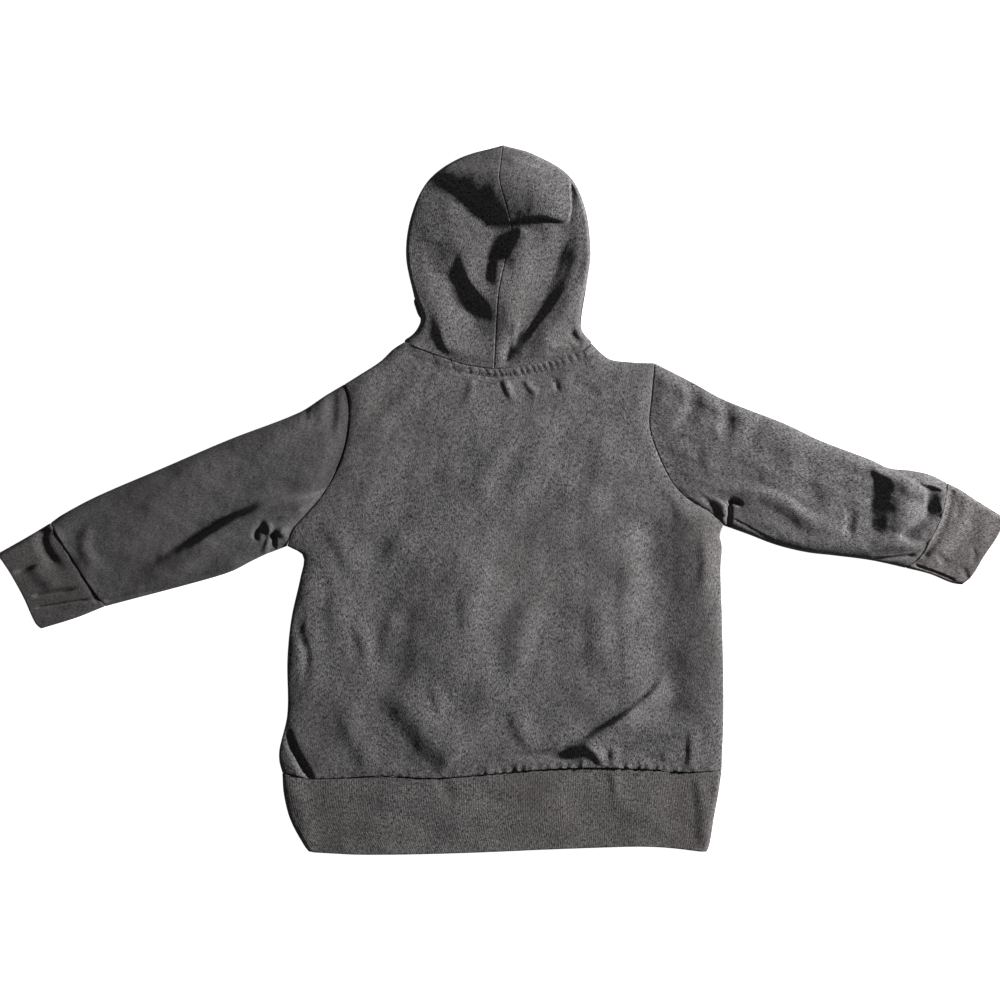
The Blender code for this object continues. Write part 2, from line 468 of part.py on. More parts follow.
def add_wall(name, outer, wall, colour, closed, normals):
    """Make a wall whose outer face is the grid and whose inner face lies a wall inside it."""
    inner = outer - wall * normals
    rows, columns = outer.shape[:2]
    layer = rows * columns
    faces = grid_faces(rows, columns, closed)
    faces += [tuple(reversed(face)) for face in grid_faces(rows, columns, closed, layer)]
    last = (rows - 1) * columns
    for column in range(columns if closed else columns - 1):
        beside = (column + 1) % columns
        faces.append((beside, column, layer + column, layer + beside))
        faces.append((last + column, last + beside, layer + last + beside, layer + last + column))
    if not closed:
        for row in range(rows - 1):
            here, above = row * columns, (row + 1) * columns
            faces.append((here, above, layer + above, layer + here))
            here, above = here + columns - 1, above + columns - 1
            faces.append((above, here, layer + here, layer + above))
    points = np.vstack([outer.reshape(-1, 3), inner.reshape(-1, 3)])
    return add_object(name, points, faces, colour)


def body_outline(neck):
    """The four lines round a body panel: hem seam, shoulders and neck, and the two sides."""
    hem = smooth_line(HEM_SEAM, HEM_COLUMNS)
    left = joined(smooth_line(SIDE_LEFT, SIDE_ROWS)[::-1], smooth_line(ARMHOLE_LEFT, ARMHOLE_ROWS)[::-1])
    right = joined(smooth_line(SIDE_RIGHT, SIDE_ROWS)[::-1], smooth_line(ARMHOLE_RIGHT, ARMHOLE_ROWS)[::-1])
    top = joined(smooth_line(SHOULDER_LEFT, SHOULDER_COLUMNS), smooth_line(neck, NECK_COLUMNS),
                 smooth_line(SHOULDER_RIGHT, SHOULDER_COLUMNS)[::-1])
    return hem, top, left, right


def add_front_panel():
    """The front panel lies flat underneath, with its neck scooped lower than the back's."""
    hem, top, left, right = body_outline(FRONT_NECK)
    outline = joined(hem, right, top[::-1], left[::-1])[:-1]
    count = len(outline)
    floor = np.column_stack([outline, np.zeros(count)])
    lid = floor + (0.0, 0.0, CLOTH)
    faces = [tuple(reversed(range(count))), tuple(range(count, 2 * count))]
    for corner in range(count):
        beside = (corner + 1) % count
        faces.append((corner, beside, count + beside, count + corner))
    return add_object("front_panel", np.vstack([floor, lid]), faces, BODY_CLOTH_COLOUR)


def add_back_panel():
    """The back panel lies on the front one, domed a little, and folded where it is slack."""
    hem, top, left, right = body_outline(BACK_NECK)
    plan = patch(hem, top, left, right)
    sides = np.vstack([left[:SIDE_ROWS + 1], right[:SIDE_ROWS + 1],
                       top[:SHOULDER_COLUMNS + 1], top[-SHOULDER_COLUMNS - 1:]])
    armholes = np.vstack([left[SIDE_ROWS:], right[SIDE_ROWS:]])
    neck = top[SHOULDER_COLUMNS:-SHOULDER_COLUMNS]
    height = np.full(plan.shape[:2], BODY_HEIGHT) + fold_heights(plan, BODY_FOLDS)
    seams = ((hem, HEM_SEAM_HEIGHT, HEM_REACH), (neck, NECK_HEIGHT, NECK_REACH),
             (armholes, ARMHOLE_HEIGHT, ARMHOLE_REACH), (sides, SIDE_HEIGHT, SIDE_REACH))
    for line, seam_height, reach in seams:
        near = rounding(distance_to(plan, line), reach)
        height = seam_height + (height - seam_height) * near
    corner_distance = distance_to(plan, top[[SHOULDER_COLUMNS, -SHOULDER_COLUMNS - 1]])
    height += NECK_CORNER_LIFT * np.clip(1.0 - corner_distance / NECK_CORNER_REACH, 0.0, 1.0)
    outer = np.dstack([plan, height])
    normals = normals_of(outer, closed=False)
    for edge in (0, -1):
        normals[edge] = held_in_seam(normals[edge], outer[edge])
        normals[:, edge] = held_in_seam(normals[:, edge], outer[:, edge])
    for corner in (SHOULDER_COLUMNS, -SHOULDER_COLUMNS - 1):
        normals[-1, corner] = (0.0, 0.0, 1.0)
    return add_wall("back_panel", outer, CLOTH, BODY_CLOTH_COLOUR, False, normals)


def at_shares(lines, shares):
    """Points of each line at the given shares of its length (one row of shares for each line)."""
    rows = []
    for line, wanted in zip(lines, shares):
        lengths = np.concatenate([[0.0], np.cumsum(np.linalg.norm(np.diff(line, axis=0), axis=1))])
        rows.append(np.column_stack([np.interp(wanted * lengths[-1], lengths, line[:, axis])
                                     for axis in range(line.shape[1])]))
    return np.array(rows)


def tube_plan(start, end, first_edge, second_edge, rows, shares):
    """Plan grid of a flattened tube, rows from its start line to its end line."""
    start, end = at_shares([start, end], [shares, shares])
    first = smooth_line(first_edge, rows)
    second = smooth_line(second_edge, rows)
    return patch(start, end, first, second)


def tube_rings(plan, crest, radius, edge_width, seam_columns):
    """Rings of a flattened tube: across the top layer, then back along the surface below."""
    first_gap = np.linalg.norm(plan - plan[:, :1], axis=-1)
    last_gap = np.linalg.norm(plan - plan[:, -1:], axis=-1)
    edge = rounding(np.minimum(first_gap, last_gap), edge_width)
    top = np.dstack([plan, radius + (crest - radius) * edge])
    widths = np.linalg.norm(np.diff(plan, axis=1), axis=-1).sum(axis=1)
    inside = np.linspace(1.0, 0.0, seam_columns + 1)[1:-1]
    shares = [np.concatenate([[1.0 - radius / width], inside, [radius / width]]) for width in widths]
    under = at_shares(plan, shares)
    bottom = np.dstack([under, np.zeros(under.shape[:2])])
    return np.concatenate([top, bottom], axis=1)


def tube_normals(rings, top_columns):
    """Normals of a flattened tube, held in the seams at its two ends."""
    normals = normals_of(rings, closed=True)
    for ring in (0, -1):
        for layer in (slice(0, top_columns), slice(top_columns, None)):
            normals[ring, layer] = held_in_seam(normals[ring, layer], rings[ring, layer])
    return normals


def shifted_ends(line, start, end):
    """The same edge, with its two ends set on the seams that it runs between."""
    return [tuple(start)] + list(line[1:-1]) + [tuple(end)]


def add_sleeve(name, armhole, cuff_seam, first_edge, second_edge, profile, folds, hump):
    """A sleeve is one flattened tube from its armhole to its cuff seam; its hump is a list of sections."""
    shares = np.concatenate([[0.0], EDGE_SHARES, np.linspace(0.0, 1.0, SEAM_COLUMNS + 1)[1:-1],
                             1.0 - np.flip(EDGE_SHARES), [1.0]])
    first_edge = shifted_ends(first_edge, armhole[0], cuff_seam[0])
    second_edge = shifted_ends(second_edge, armhole[-1], cuff_seam[-1])
    plan = tube_plan(armhole, cuff_seam, first_edge, second_edge, SLEEVE_ROWS, shares)
    along = np.linspace(0.0, 1.0, SLEEVE_ROWS + 1)[:, None]
    crest = np.interp(along, *zip(*profile)) + fold_heights(plan, folds)
    if hump:
        crest += through_sections(plan, hump)
    crest = np.maximum(crest, LOWEST_CREST)
    rings = tube_rings(plan, crest, FOLD_RADIUS, SLEEVE_EDGE_WIDTH, SEAM_COLUMNS)
    return add_wall(name, rings, CLOTH, BODY_CLOTH_COLOUR, True, tube_normals(rings, len(shares)))


def add_rib_tube(name, start, end, first_edge, second_edge, height, rows, folds):
    """A doubled rib tube: ribs raised along the top layer, plain inside and underneath."""
    seam_columns = len(start) - 1
    width = np.linalg.norm(np.diff(start, axis=0), axis=1).sum()
    ribs_per_column = round(width / (RIB_PITCH * seam_columns))
    columns = 2 * ribs_per_column * seam_columns
    plan = tube_plan(start, end, first_edge, second_edge, rows, np.linspace(0.0, 1.0, columns + 1))
    crest = np.maximum(height + fold_heights(plan, folds), LOWEST_RIB_CREST)
    rings = tube_rings(plan, crest, RIB_FOLD_RADIUS, RIB_EDGE_WIDTH, seam_columns)
    kept = [*range(0, columns, 2 * ribs_per_column), columns, *range(columns + 1, rings.shape[1])]
    inner = rings[:, kept]
    inner = inner - RIB_CLOTH * tube_normals(inner, seam_columns + 1)
    outer = rings.copy()
    outer[:, 1:columns:2, 2] += RIB_HEIGHT
    return add_grouped_wall(name, outer, inner, kept)


def add_grouped_wall(name, outer, inner, kept):
    """Make a tube whose inner rings have one point for each group of outer points."""
    rows, columns = outer.shape[:2]
    inner_columns = inner.shape[1]
    first_inner = rows * columns
    faces = grid_faces(rows, columns, closed=True)
    faces += [tuple(reversed(face)) for face in grid_faces(rows, inner_columns, True, first_inner)]
    for group in range(inner_columns):
        beside = (group + 1) % inner_columns
        stop = kept[beside] if beside else columns
        span = [column % columns for column in range(kept[group], stop + 1)]
        for row in (0, rows - 1):
            rim = [row * columns + column for column in span]
            rim += [first_inner + row * inner_columns + beside, first_inner + row * inner_columns + group]
            faces.append(tuple(reversed(rim)) if row == 0 else tuple(rim))
    points = np.vstack([outer.reshape(-1, 3), inner.reshape(-1, 3)])
    return add_object(name, points, faces, RIB_COLOUR)


def neck_seam_height(plan):
    """Height of the neck seam beside the back panel, which comes down to the side of the neck."""
    corner_distance = distance_to(plan, np.array([BACK_NECK[0], BACK_NECK[-1]]))
    fall = rounding(corner_distance, SIDE_REACH)
    lift = NECK_CORNER_LIFT * np.clip(1.0 - corner_distance / NECK_CORNER_REACH, 0.0, 1.0)
    return SIDE_HEIGHT + (NECK_HEIGHT - SIDE_HEIGHT) * fall + lift


def hood_height(plan):
    """Outer face of the hood's top layer: its lower part, and the crown that flops over it."""
    lower = through_sections(plan, HOOD_LOWER)
    crown = through_sections(plan, HOOD_CROWN)
    inside = side_of(plan, smooth_line(CROWN_EDGE, LINE_SAMPLES))
    height = HOOD_BASE + lower + (crown - lower) * eased(0.5 + inside / CROWN_STEP)
    close = eased(distance_to(plan, smooth_line(BACK_NECK, LINE_SAMPLES)) / HOOD_NECK_REACH)
    return neck_seam_height(plan) * (1.0 - close) + height * close


def hood_shares(lines, top_samples):
    """Where each row's points lie along it: close together where the hood turns under.

    Towards the crown, where the rows' top stretches run out, the points spread evenly.
    """
    lengths = np.linalg.norm(np.diff(lines, axis=1), axis=-1)
    turn = lengths[:, :top_samples].sum(axis=1, keepdims=True) / lengths.sum(axis=1, keepdims=True)
    top = np.sin(0.5 * np.pi * np.linspace(0.0, 1.0, HOOD_TOP_COLUMNS + 1))
    under = 1.0 - np.cos(0.5 * np.pi * np.linspace(0.0, 1.0, HOOD_UNDER_COLUMNS + 1)[1:])
    turned = np.concatenate([turn * top, turn + (1.0 - turn) * under], axis=1)
    even = np.linspace(0.0, 1.0, turned.shape[1])
    rows_to_crown = np.arange(HOOD_ROWS, -1, -1)[:, None]
    spread = np.clip(1.0 - rows_to_crown / HOOD_CROWN_ROWS, 0.0, 1.0)
    return (1.0 - spread) * turned + spread * even


def add_hood_half(name, side, back_neck, front_neck, edge, face_edge):
    """Half of the hood: from the centre seam outwards, round its edge and under to the face.

    Every row starts on the centre seam and ends on the face edge. The first row is the
    neck, and the last one is the stretch of the centre seam that lies underneath.
    """
    seam_line = smooth_line(HOOD_SEAM, HOOD_ROWS)
    edge_line = smooth_line(edge, HOOD_ROWS)
    face_line = smooth_line(face_edge, HOOD_ROWS)
    seam_line[0], edge_line[0], face_line[0] = back_neck[0], back_neck[-1], front_neck[-1]
    crown = np.repeat(edge_line[-1:], HOOD_SAMPLES + 1, axis=0)
    even = np.linspace(0.0, 1.0, HOOD_SAMPLES + 1)
    top_plan = patch(at_shares([back_neck], [even])[0], crown, seam_line, edge_line)
    under_seam = np.linspace(edge_line[-1], face_line[-1], HOOD_SAMPLES + 1)
    under_plan = patch(at_shares([front_neck], [even])[0], under_seam, edge_line, face_line, NECK_HASTE)
    along = np.linspace(0.0, 1.0, HOOD_ROWS + 1)[:, None]
    turn_height = np.interp(along, *zip(*HOOD_TURN_HEIGHTS))
    edge_width = np.interp(along, *zip(*HOOD_EDGE_WIDTHS))
    fine_edge = smooth_line(edge, LINE_SAMPLES)
    near = rounding(distance_to(top_plan, fine_edge), edge_width)
    top = turn_height + (hood_height(top_plan) - turn_height) * near
    from_start = np.linalg.norm(under_plan - under_plan[:, :1], axis=-1)
    below = rounding(np.minimum(from_start, distance_to(under_plan, fine_edge)), turn_height)
    lines = np.concatenate([np.dstack([top_plan, top]),
                            np.dstack([under_plan, turn_height * (1.0 - below)])[:, 1:]], axis=1)
    outer = at_shares(lines, hood_shares(lines, HOOD_SAMPLES))
    outer[..., 0] += side * SEAM_GAP / 2
    centre = 0
    if side < 0:
        outer, centre = outer[:, ::-1], -1
    normals = calmed(normals_of(outer, closed=False))
    normals[outer[..., 2] == 0.0] = (0.0, 0.0, -1.0)
    normals[0] = held_in_seam(normals[0], outer[0])
    for seam in (normals[:, centre], normals[-1]):
        seam[:, 0] = 0.0
        seam /= np.linalg.norm(seam, axis=1)[:, None]
    return add_wall(name, outer, CLOTH, BODY_CLOTH_COLOUR, False, normals)


def add_hood():
    """Both halves of the hood, sewn to the back and front necklines."""
    back = moved(smooth_line(BACK_NECK, NECK_COLUMNS), SEAM_GAP)
    front = moved(smooth_line(FRONT_NECK, NECK_COLUMNS), SEAM_GAP)
    back_middle = np.abs(back[:, 0] - HOOD_SEAM[0][0]).argmin()
    front_middle = np.abs(front[:, 0] - FACE_EDGE_LEFT[0][0]).argmin()
    back[0] = front[0] = FRONT_NECK[0] + NECK_TURN_INSET * np.array([0.5, 1.0])
    back[-1] = front[-1] = FRONT_NECK[-1] + NECK_TURN_INSET * np.array([-0.5, 1.0])
    add_hood_half("hood_left", -1, back[back_middle::-1], front[:front_middle + 1],
                  HOOD_EDGE_LEFT, FACE_EDGE_LEFT)
    add_hood_half("hood_right", 1, back[back_middle:], front[:front_middle - 1:-1],
                  HOOD_EDGE_RIGHT, FACE_EDGE_RIGHT)


def add_sleeves_and_cuffs():
    """Two sleeves and their cuffs; each line runs so that the tube's outer face looks out."""
    armhole = moved(smooth_line(ARMHOLE_LEFT, ARMHOLE_ROWS), -SEAM_GAP)[::-1]
    seam = smooth_line(CUFF_SEAM_LEFT, SEAM_COLUMNS)[::-1]
    add_sleeve("left_sleeve", armhole, seam, SLEEVE_LOWER_LEFT, SLEEVE_UPPER_LEFT,
               LEFT_SLEEVE_HEIGHTS, LEFT_SLEEVE_FOLDS, [])
    cuff_start = moved(seam, SEAM_GAP)
    mouth = smooth_line(CUFF_MOUTH_LEFT, SEAM_COLUMNS)[::-1]
    add_rib_tube("left_cuff", cuff_start, mouth,
                 shifted_ends(CUFF_LOWER_LEFT, cuff_start[0], mouth[0]),
                 shifted_ends(CUFF_UPPER_LEFT, cuff_start[-1], mouth[-1]),
                 CUFF_HEIGHT, CUFF_ROWS, LEFT_CUFF_FOLDS)
    armhole = moved(smooth_line(ARMHOLE_RIGHT, ARMHOLE_ROWS), SEAM_GAP)
    seam = smooth_line(CUFF_SEAM_RIGHT, SEAM_COLUMNS)
    add_sleeve("right_sleeve", armhole, seam, SLEEVE_UPPER_RIGHT, SLEEVE_LOWER_RIGHT,
               RIGHT_SLEEVE_HEIGHTS, RIGHT_SLEEVE_FOLDS, SLEEVE_HUMP)
    cuff_start = moved(seam, SEAM_GAP)
    mouth = smooth_line(CUFF_MOUTH_RIGHT, SEAM_COLUMNS)
    add_rib_tube("right_cuff", cuff_start, mouth,
                 shifted_ends(CUFF_UPPER_RIGHT, cuff_start[0], mouth[0]),
                 shifted_ends(CUFF_LOWER_RIGHT, cuff_start[-1], mouth[-1]),
                 CUFF_HEIGHT, CUFF_ROWS, RIGHT_CUFF_FOLDS)


def add_hem_band():
    """The doubled rib band round the hem."""
    top = moved(smooth_line(HEM_SEAM, HEM_COLUMNS), -SEAM_GAP)
    bottom = smooth_line(HEM_EDGE, HEM_COLUMNS)
    left = shifted_ends(BAND_SIDE_LEFT[::-1], bottom[0], top[0])
    right = shifted_ends(BAND_SIDE_RIGHT[::-1], bottom[-1], top[-1])
    add_rib_tube("hem_band", bottom, top, left, right, BAND_HEIGHT, BAND_ROWS, BAND_FOLDS)


for old in list(bpy.data.objects):
    bpy.data.objects.remove(old, do_unlink=True)
add_front_panel()
add_back_panel()
add_sleeves_and_cuffs()
add_hem_band()
add_hood()
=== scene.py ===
"""Looks of a toddler's charcoal pullover hoodie, laid flat with its back upwards.

Every piece is a thin shell of cloth in the form of its solid, with the same seams and
edges, and with its own creases, ribs and rounded seam lips. Lengths are millimetres
until a mesh is made; +X points to the wearer's right, +Y to the hood, +Z up.
"""

from collections import namedtuple

import bpy
import numpy as np
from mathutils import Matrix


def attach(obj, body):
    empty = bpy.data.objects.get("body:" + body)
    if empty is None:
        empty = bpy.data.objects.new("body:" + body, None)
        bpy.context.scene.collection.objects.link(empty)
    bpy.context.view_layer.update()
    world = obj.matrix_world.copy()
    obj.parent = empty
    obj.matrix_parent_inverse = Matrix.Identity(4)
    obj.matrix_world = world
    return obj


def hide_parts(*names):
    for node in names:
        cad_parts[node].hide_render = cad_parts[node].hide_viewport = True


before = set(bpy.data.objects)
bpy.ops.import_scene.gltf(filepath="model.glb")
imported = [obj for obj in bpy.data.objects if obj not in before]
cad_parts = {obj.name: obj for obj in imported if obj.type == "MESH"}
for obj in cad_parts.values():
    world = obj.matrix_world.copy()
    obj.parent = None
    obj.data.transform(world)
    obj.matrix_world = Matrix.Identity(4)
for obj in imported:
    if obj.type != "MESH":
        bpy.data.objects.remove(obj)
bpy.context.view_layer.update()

bl_info = {
    "name": "Toddler Hoodie",
    "version": (1, 0, 0),
    "blender": (4, 5, 0),
    "location": "3D View > Sidebar > Hoodie",
    "description": "Makes the cloth, ribs and seams of a toddler's hoodie that lies flat",
    "category": "Mesh",
}

MM = 0.001
BODY = "root"

# ---------------------------------------------------------------- sizes of the garment, as in its solids
CLOTH = 2.0
SEAM_GAP = 0.01             # the seams of the solids are 0.3 apart; here the cloth meets
FOLD_RADIUS = 2.7           # half the height of a flattened tube at its folded edges
RIB_FOLD_RADIUS = 3.0
SLEEVE_EDGE_WIDTH = 11.0    # how far in from its folded edges a sleeve reaches its full height
RIB_EDGE_WIDTH = 4.0
SIDE_HEIGHT = 4.3           # of the side seams and the shoulders
BODY_HEIGHT = 7.4
ARMHOLE_HEIGHT = 5.6
NECK_HEIGHT = 8.6
HEM_SEAM_HEIGHT = 6.8
BAND_HEIGHT = 6.2
CUFF_HEIGHT = 7.4
HEM_REACH, NECK_REACH, ARMHOLE_REACH, SIDE_REACH = 10.0, 5.0, 16.0, 14.0     # from a seam to the full height
HOOD_LENGTH = 180.0
HOOD_BASE = 11.0            # what the heights in the hood's sections stand on
HOOD_FOLD_REACH = 9.0       # how far from the neck its folds are fully there
CROWN_STEP = 1.6            # how far the crown's edge takes to drop onto the hood's lower part
NECK_CORNER_LIFT = 1.6      # how much the cloth stands higher at the ends of the neck
NECK_CORNER_REACH = 16.0
NECK_TURN = np.array([0.6, 1.2])       # how far the hood turns in and up at the ends of the neck
# heights along a form, each a share of its length and the height there
LEFT_SLEEVE_HEIGHTS = [(0.0, 5.6), (0.02, 6.0), (0.08, 7.8), (0.3, 9.2), (0.6, 8.4), (0.88, 7.6), (1.0, 8.0)]
RIGHT_SLEEVE_HEIGHTS = [(0.0, 5.6), (0.04, 6.1), (0.12, 7.2), (0.5, 9.6), (0.88, 10.0), (1.0, 8.0)]
HOOD_TURN_HEIGHTS = [(0.0, 5.4), (0.15, 7.5), (1.0, 7.5)]
HOOD_EDGE_WIDTHS = [(0.0, 9.0), (0.08, 6.0), (0.25, 2.6), (1.0, 2.6)]        # share of its length, width
# each piece's cut: its flat size and its area, in metres, all round on a tube
Cut = namedtuple("Cut", "flat area")

# ---------------------------------------------------------------- finer sizes of the cloth
LIP_WIDTH = 0.8             # how far in from a rim the wall reaches its full thickness
RIM_SHARE = 0.4             # of the wall's thickness that is left at the rim
LOWEST_CREST = 4.4          # a tube's top layer never sinks onto its lower one
LOWEST_RIB_CREST = 5.0
FLOOR_CLEARANCE = 0.2       # of a wall's inner face above the surface it lies on
NECK_BAND = 6.2             # from the neck seam to the stitching below it
NECK_BAND_LIFT = 1.3
NECK_BAND_RISE = 1.5        # from the neck seam to where the band is full
NECK_BAND_END = 1.0         # how far before the stitching the band begins to end
NECK_GROOVE = 1.3
NECK_GROOVE_WIDTH = 0.8
NECK_TICK_WIDTH = 0.75
NECK_TICK_SLANT = 0.55
NECK_FLAT_SIDE = -45.0      # the band lies flatter left of here, and is full this much further on
NECK_FULL_REACH = 42.0
NECK_FLATNESS = 0.35
NECK_HASTE = 4              # how soon the hood's underside leaves the shape of the front neck
CORNER_EASE = 8.0           # how far the hood's outer lines take to leave the neck's drawn-in corners
CORNER_REACH = 7.0          # how far from the neck's corners the hood's wall thins out
NECK_TICKS = [(-25.0, 0.9), (-18.0, 0.5), (-12.0, 1.0), (-6.5, 0.7), (-1.6, 1.2), (2.3, 1.1), (5.3, 0.9),
              (8.4, 1.1), (14.5, 1.2), (18.3, 1.0), (23.6, 1.2), (27.4, 1.1), (31.2, 1.0), (35.9, 1.2),
              (40.4, 1.0), (45.0, 0.9), (51.0, 1.0), (56.5, 0.9), (62.0, 0.8), (-38.0, 0.5),
              (-52.0, 0.4)]                          # place and depth
PUCKER_START, PUCKER_END = -16.0, 152.0              # the puckers are strong between these x
PUCKER_STRONG, PUCKER_WEAK = 1.8, 0.6
PUCKER_SHARES, PUCKER_WIDTHS, PUCKER_LENGTHS = (0.3, 1.0), (1.1, 2.0), (4.0, 10.0)
PUCKER_LEANS, PUCKER_SPACES = (-0.25, 0.25), (4.5, 9.0)
PUCKER_RISE = 1.2           # from the seam to where a pucker is full
SLACK_WAVES = [(0.5, 46.0, 1.6), (0.26, 17.0, 1.8), (0.08, 6.5, 1.5)]        # height, length, stretch
BODY_SLACK_DIRECTION, HOOD_SLACK_DIRECTION = 35.0, 70.0
HOOD_SLACK, RIB_SLACK = 0.5, 0.5       # of the body's unevenness
SLEEVE_HOLD, CUFF_HOLD = 0.04, 0.02    # shares of a sleeve where the seams at its ends hold its folds down
RIB_SHARPNESS = 0.8
RIB_RISE = 1.5              # from a rim to where the ribs are full
RIB_UNEVENNESS, RIB_WAVE, RIB_WAVE_STRETCH = 0.35, 9.0, 6.0
STITCH_GAP = 0.7
STITCH_SIDES, STITCH_RINGS = 8, 6
STITCH_END_GIRTH = 0.2      # of a stitch's radius that is left at its ends
THREAD_LIFT, THREAD_DIP = 0.2, 0.35    # of a stitch's middle above the cloth, and of its ends below that
NECK_STITCH_MARGIN = 14     # of the neck's fine points, left without stitches at both ends
SEEDS = {"back_panel": 3, "hem_puckers": 31, "left_sleeve": 41, "right_sleeve": 53, "left_cuff": 61,
         "right_cuff": 67, "hem_band": 71, "hood": 83}
RIB_SEED_STEP = 7           # between the seed of a rib's slack and of its unevenness

# ---------------------------------------------------------------- how finely each piece is divided
FINE = 8                    # points of a fine line for each one of the solids' lines
HEM_COLUMNS, SHOULDER_COLUMNS, NECK_COLUMNS = 28, 5, 18
SIDE_ROWS, ARMHOLE_ROWS = 14, 12
SPAN_STEPS = 24
EDGE_SAMPLES = 400
SECTION_SAMPLES = 400
FOLD_STEPS = 60
WAVE_COUNT = 28
WAVE_SHARES = (0.7, 1.6)    # of the length asked for that the single waves have
NORMAL_PASSES = 3
NEAREST_AT_ONCE = 4000      # points that are set against a line in one go
SEAM_STEPS = (0.25, 0.55, 0.9, 1.35, 2.0)           # distances from a seam where its lip has points
EDGE_STEPS = (0.15, 0.5, 1.1, 2.0, 3.1, 4.5)        # the same beside a sleeve's folded edges
EVEN_FROM = 1.2             # of the reach of those close points, where the evenly spaced ones begin
TURN_STEPS = 5
BODY_COLUMNS, BODY_ROWS = 224, 204
BODY_WIDTH, BODY_LENGTH = 330.0, 310.0              # rough sizes, which space the points beside the seams
FRONT_COLUMNS, FRONT_ROWS = 84, 78
SLEEVE_COLUMNS, SLEEVE_ROWS = 92, 168
SLEEVE_WIDTH, SLEEVE_LENGTH = 120.0, 230.0
UNDER_COLUMNS = 30
RIB_STEPS = 6
CUFF_ROWS, BAND_ROWS = 26, 28
HOOD_ROWS, HOOD_TOP_COLUMNS, HOOD_UNDER_COLUMNS = 190, 84, 22
HOOD_SAMPLES = 120
HOOD_HALF_WIDTH = 75.0
HOOD_EVENNESS = 0.55        # the rest of the spacing over the hood closes up towards its edge
CROWN_SHARE = 0.2           # of the hood's length over which its points spread out at the crown

# ---------------------------------------------------------------- finish of the cloth
FLECK_SCALE, FIBRE_SCALE, CLUMP_SCALE, NAP_SCALE = 1150.0, 1400.0, 480.0, 1900.0
FLECK_SHARE = 0.35          # of the flecks, and of the fibres; clumps of fibres make up the rest
FLECK_RANGE = (0.38, 0.62)
FLECK_DARK, FLECK_LIGHT = 0.02, 2.15
PATCH_SCALE, STAIN_SCALE, TINT_SCALE = 26.0, 34.0, 9.0
PATCH_RANGE, STAIN_RANGE, TINT_RANGE = (0.42, 0.66), (0.5, 0.72), (0.42, 0.72)
PATCH_STRETCH = (1.0, 0.45, 1.0)
PATCH_TURN = np.radians(35.0)
PATCH_LIGHT, PATCH_DARK = 1.24, 0.76
FIBRE_STRETCH = (1.0, 0.3, 1.0)
TINT_STRENGTH = 0.35
WARM_SHIFT = (1.06, 0.99, 0.93)
HEM_SHADE = 0.82            # colour of the cloth at the hem, against the shoulders
HEM_SHADE_START, HEM_SHADE_END = -0.02, -0.2        # between these y, in metres
GRAIN_DEPTH = 0.0004
ROUGHNESS_RANGE = (0.9, 1.0)
SPECULAR, SHEEN, SHEEN_ROUGHNESS, SHEEN_BRIGHTNESS = 0.25, 0.3, 0.45, 5.0
SMOOTHER = 0.6              # how strong the flecks are in the cloth and rib with painted shade (the left sleeve and its cuff), and in the thread
LEFT_SIDE_PAINTED_SHADE = 0.74           # painted shade: the colour of the left sleeve and its cuff is darkened to this share, standing in for the shade on the left side, away from the low light on the right
Finish = namedtuple("Finish", "colour shade grain flecks")
FINISHES = {
    "cloth": Finish("cloth_colour", 1.0, 0.6, 1.0),
    "rib": Finish("rib_colour", 1.0, 0.45, 1.0),
    # painted shade: darker copies of the cloth and the rib, for the left sleeve and its cuff
    "dark_cloth": Finish("cloth_colour", LEFT_SIDE_PAINTED_SHADE, 0.5, SMOOTHER),
    "dark_rib": Finish("rib_colour", LEFT_SIDE_PAINTED_SHADE, 0.4, SMOOTHER),
    "thread": Finish("thread_colour", 1.0, 0.3, SMOOTHER),
}

# ---------------------------------------------------------------- studio
KEY_COLOUR = (1.0, 0.99, 0.975)
WHITE = (1.0, 1.0, 1.0, 1.0)
FLOOR_SIZE, FLOOR_DROP = 40.0, 0.0006
FLOOR_COLOUR, FLOOR_ROUGHNESS, FLOOR_SPECULAR = (0.9, 0.9, 0.9, 1.0), 0.9, 0.1
SENSOR = 36.0
CLIP_END = 100.0

# ---------------------------------------------------------------- seam lines and edges (x, y)
SHOULDER_LEFT = [(-118.5, 88.4), (-107.1, 95.5), (-91.1, 105.9), (-81.5, 115.1), (-73.2, 120.4)]
SHOULDER_RIGHT = [(118.1, 104.4), (99.8, 105.2), (83.8, 107.4), (75.5, 113.8), (70.1, 119.3)]
BACK_NECK = [(-73.2, 120.4), (-60.2, 114.7), (-41.1, 107.8), (-25.1, 102.9), (0.0, 100.2),
             (25.9, 103.3), (45.7, 108.6), (63.2, 114.3), (70.1, 119.3)]
FRONT_NECK = [(-73.2, 120.4), (-64.0, 98.0), (-40.0, 74.0), (-1.5, 65.0),
              (37.0, 74.0), (61.0, 98.0), (70.1, 119.3)]
ARMHOLE_LEFT = [(-118.5, 88.4), (-115.4, 76.2), (-115.1, 60.6), (-118.5, 39.6), (-125.7, 20.6),
                (-136.0, 3.0), (-148.2, -11.1), (-158.5, -23.2), (-162.3, -35.1)]
ARMHOLE_RIGHT = [(118.1, 104.4), (115.5, 76.2), (114.1, 57.5), (117.9, 42.4), (129.5, 16.8),
                 (138.7, 5.1), (149.4, -3.0), (160.0, -8.8), (170.3, -19.4)]
SIDE_LEFT = [(-162.3, -35.1), (-150.1, -42.7), (-152.4, -59.4), (-159.3, -90.7), (-162.3, -121.9),
             (-162.3, -163.1), (-168.4, -190.5), (-168.4, -199.6), (-166.1, -208.0)]
SIDE_RIGHT = [(170.3, -19.4), (167.6, -26.3), (169.5, -35.1), (168.4, -52.6), (169.5, -87.6),
              (170.7, -157.7), (169.2, -206.5)]
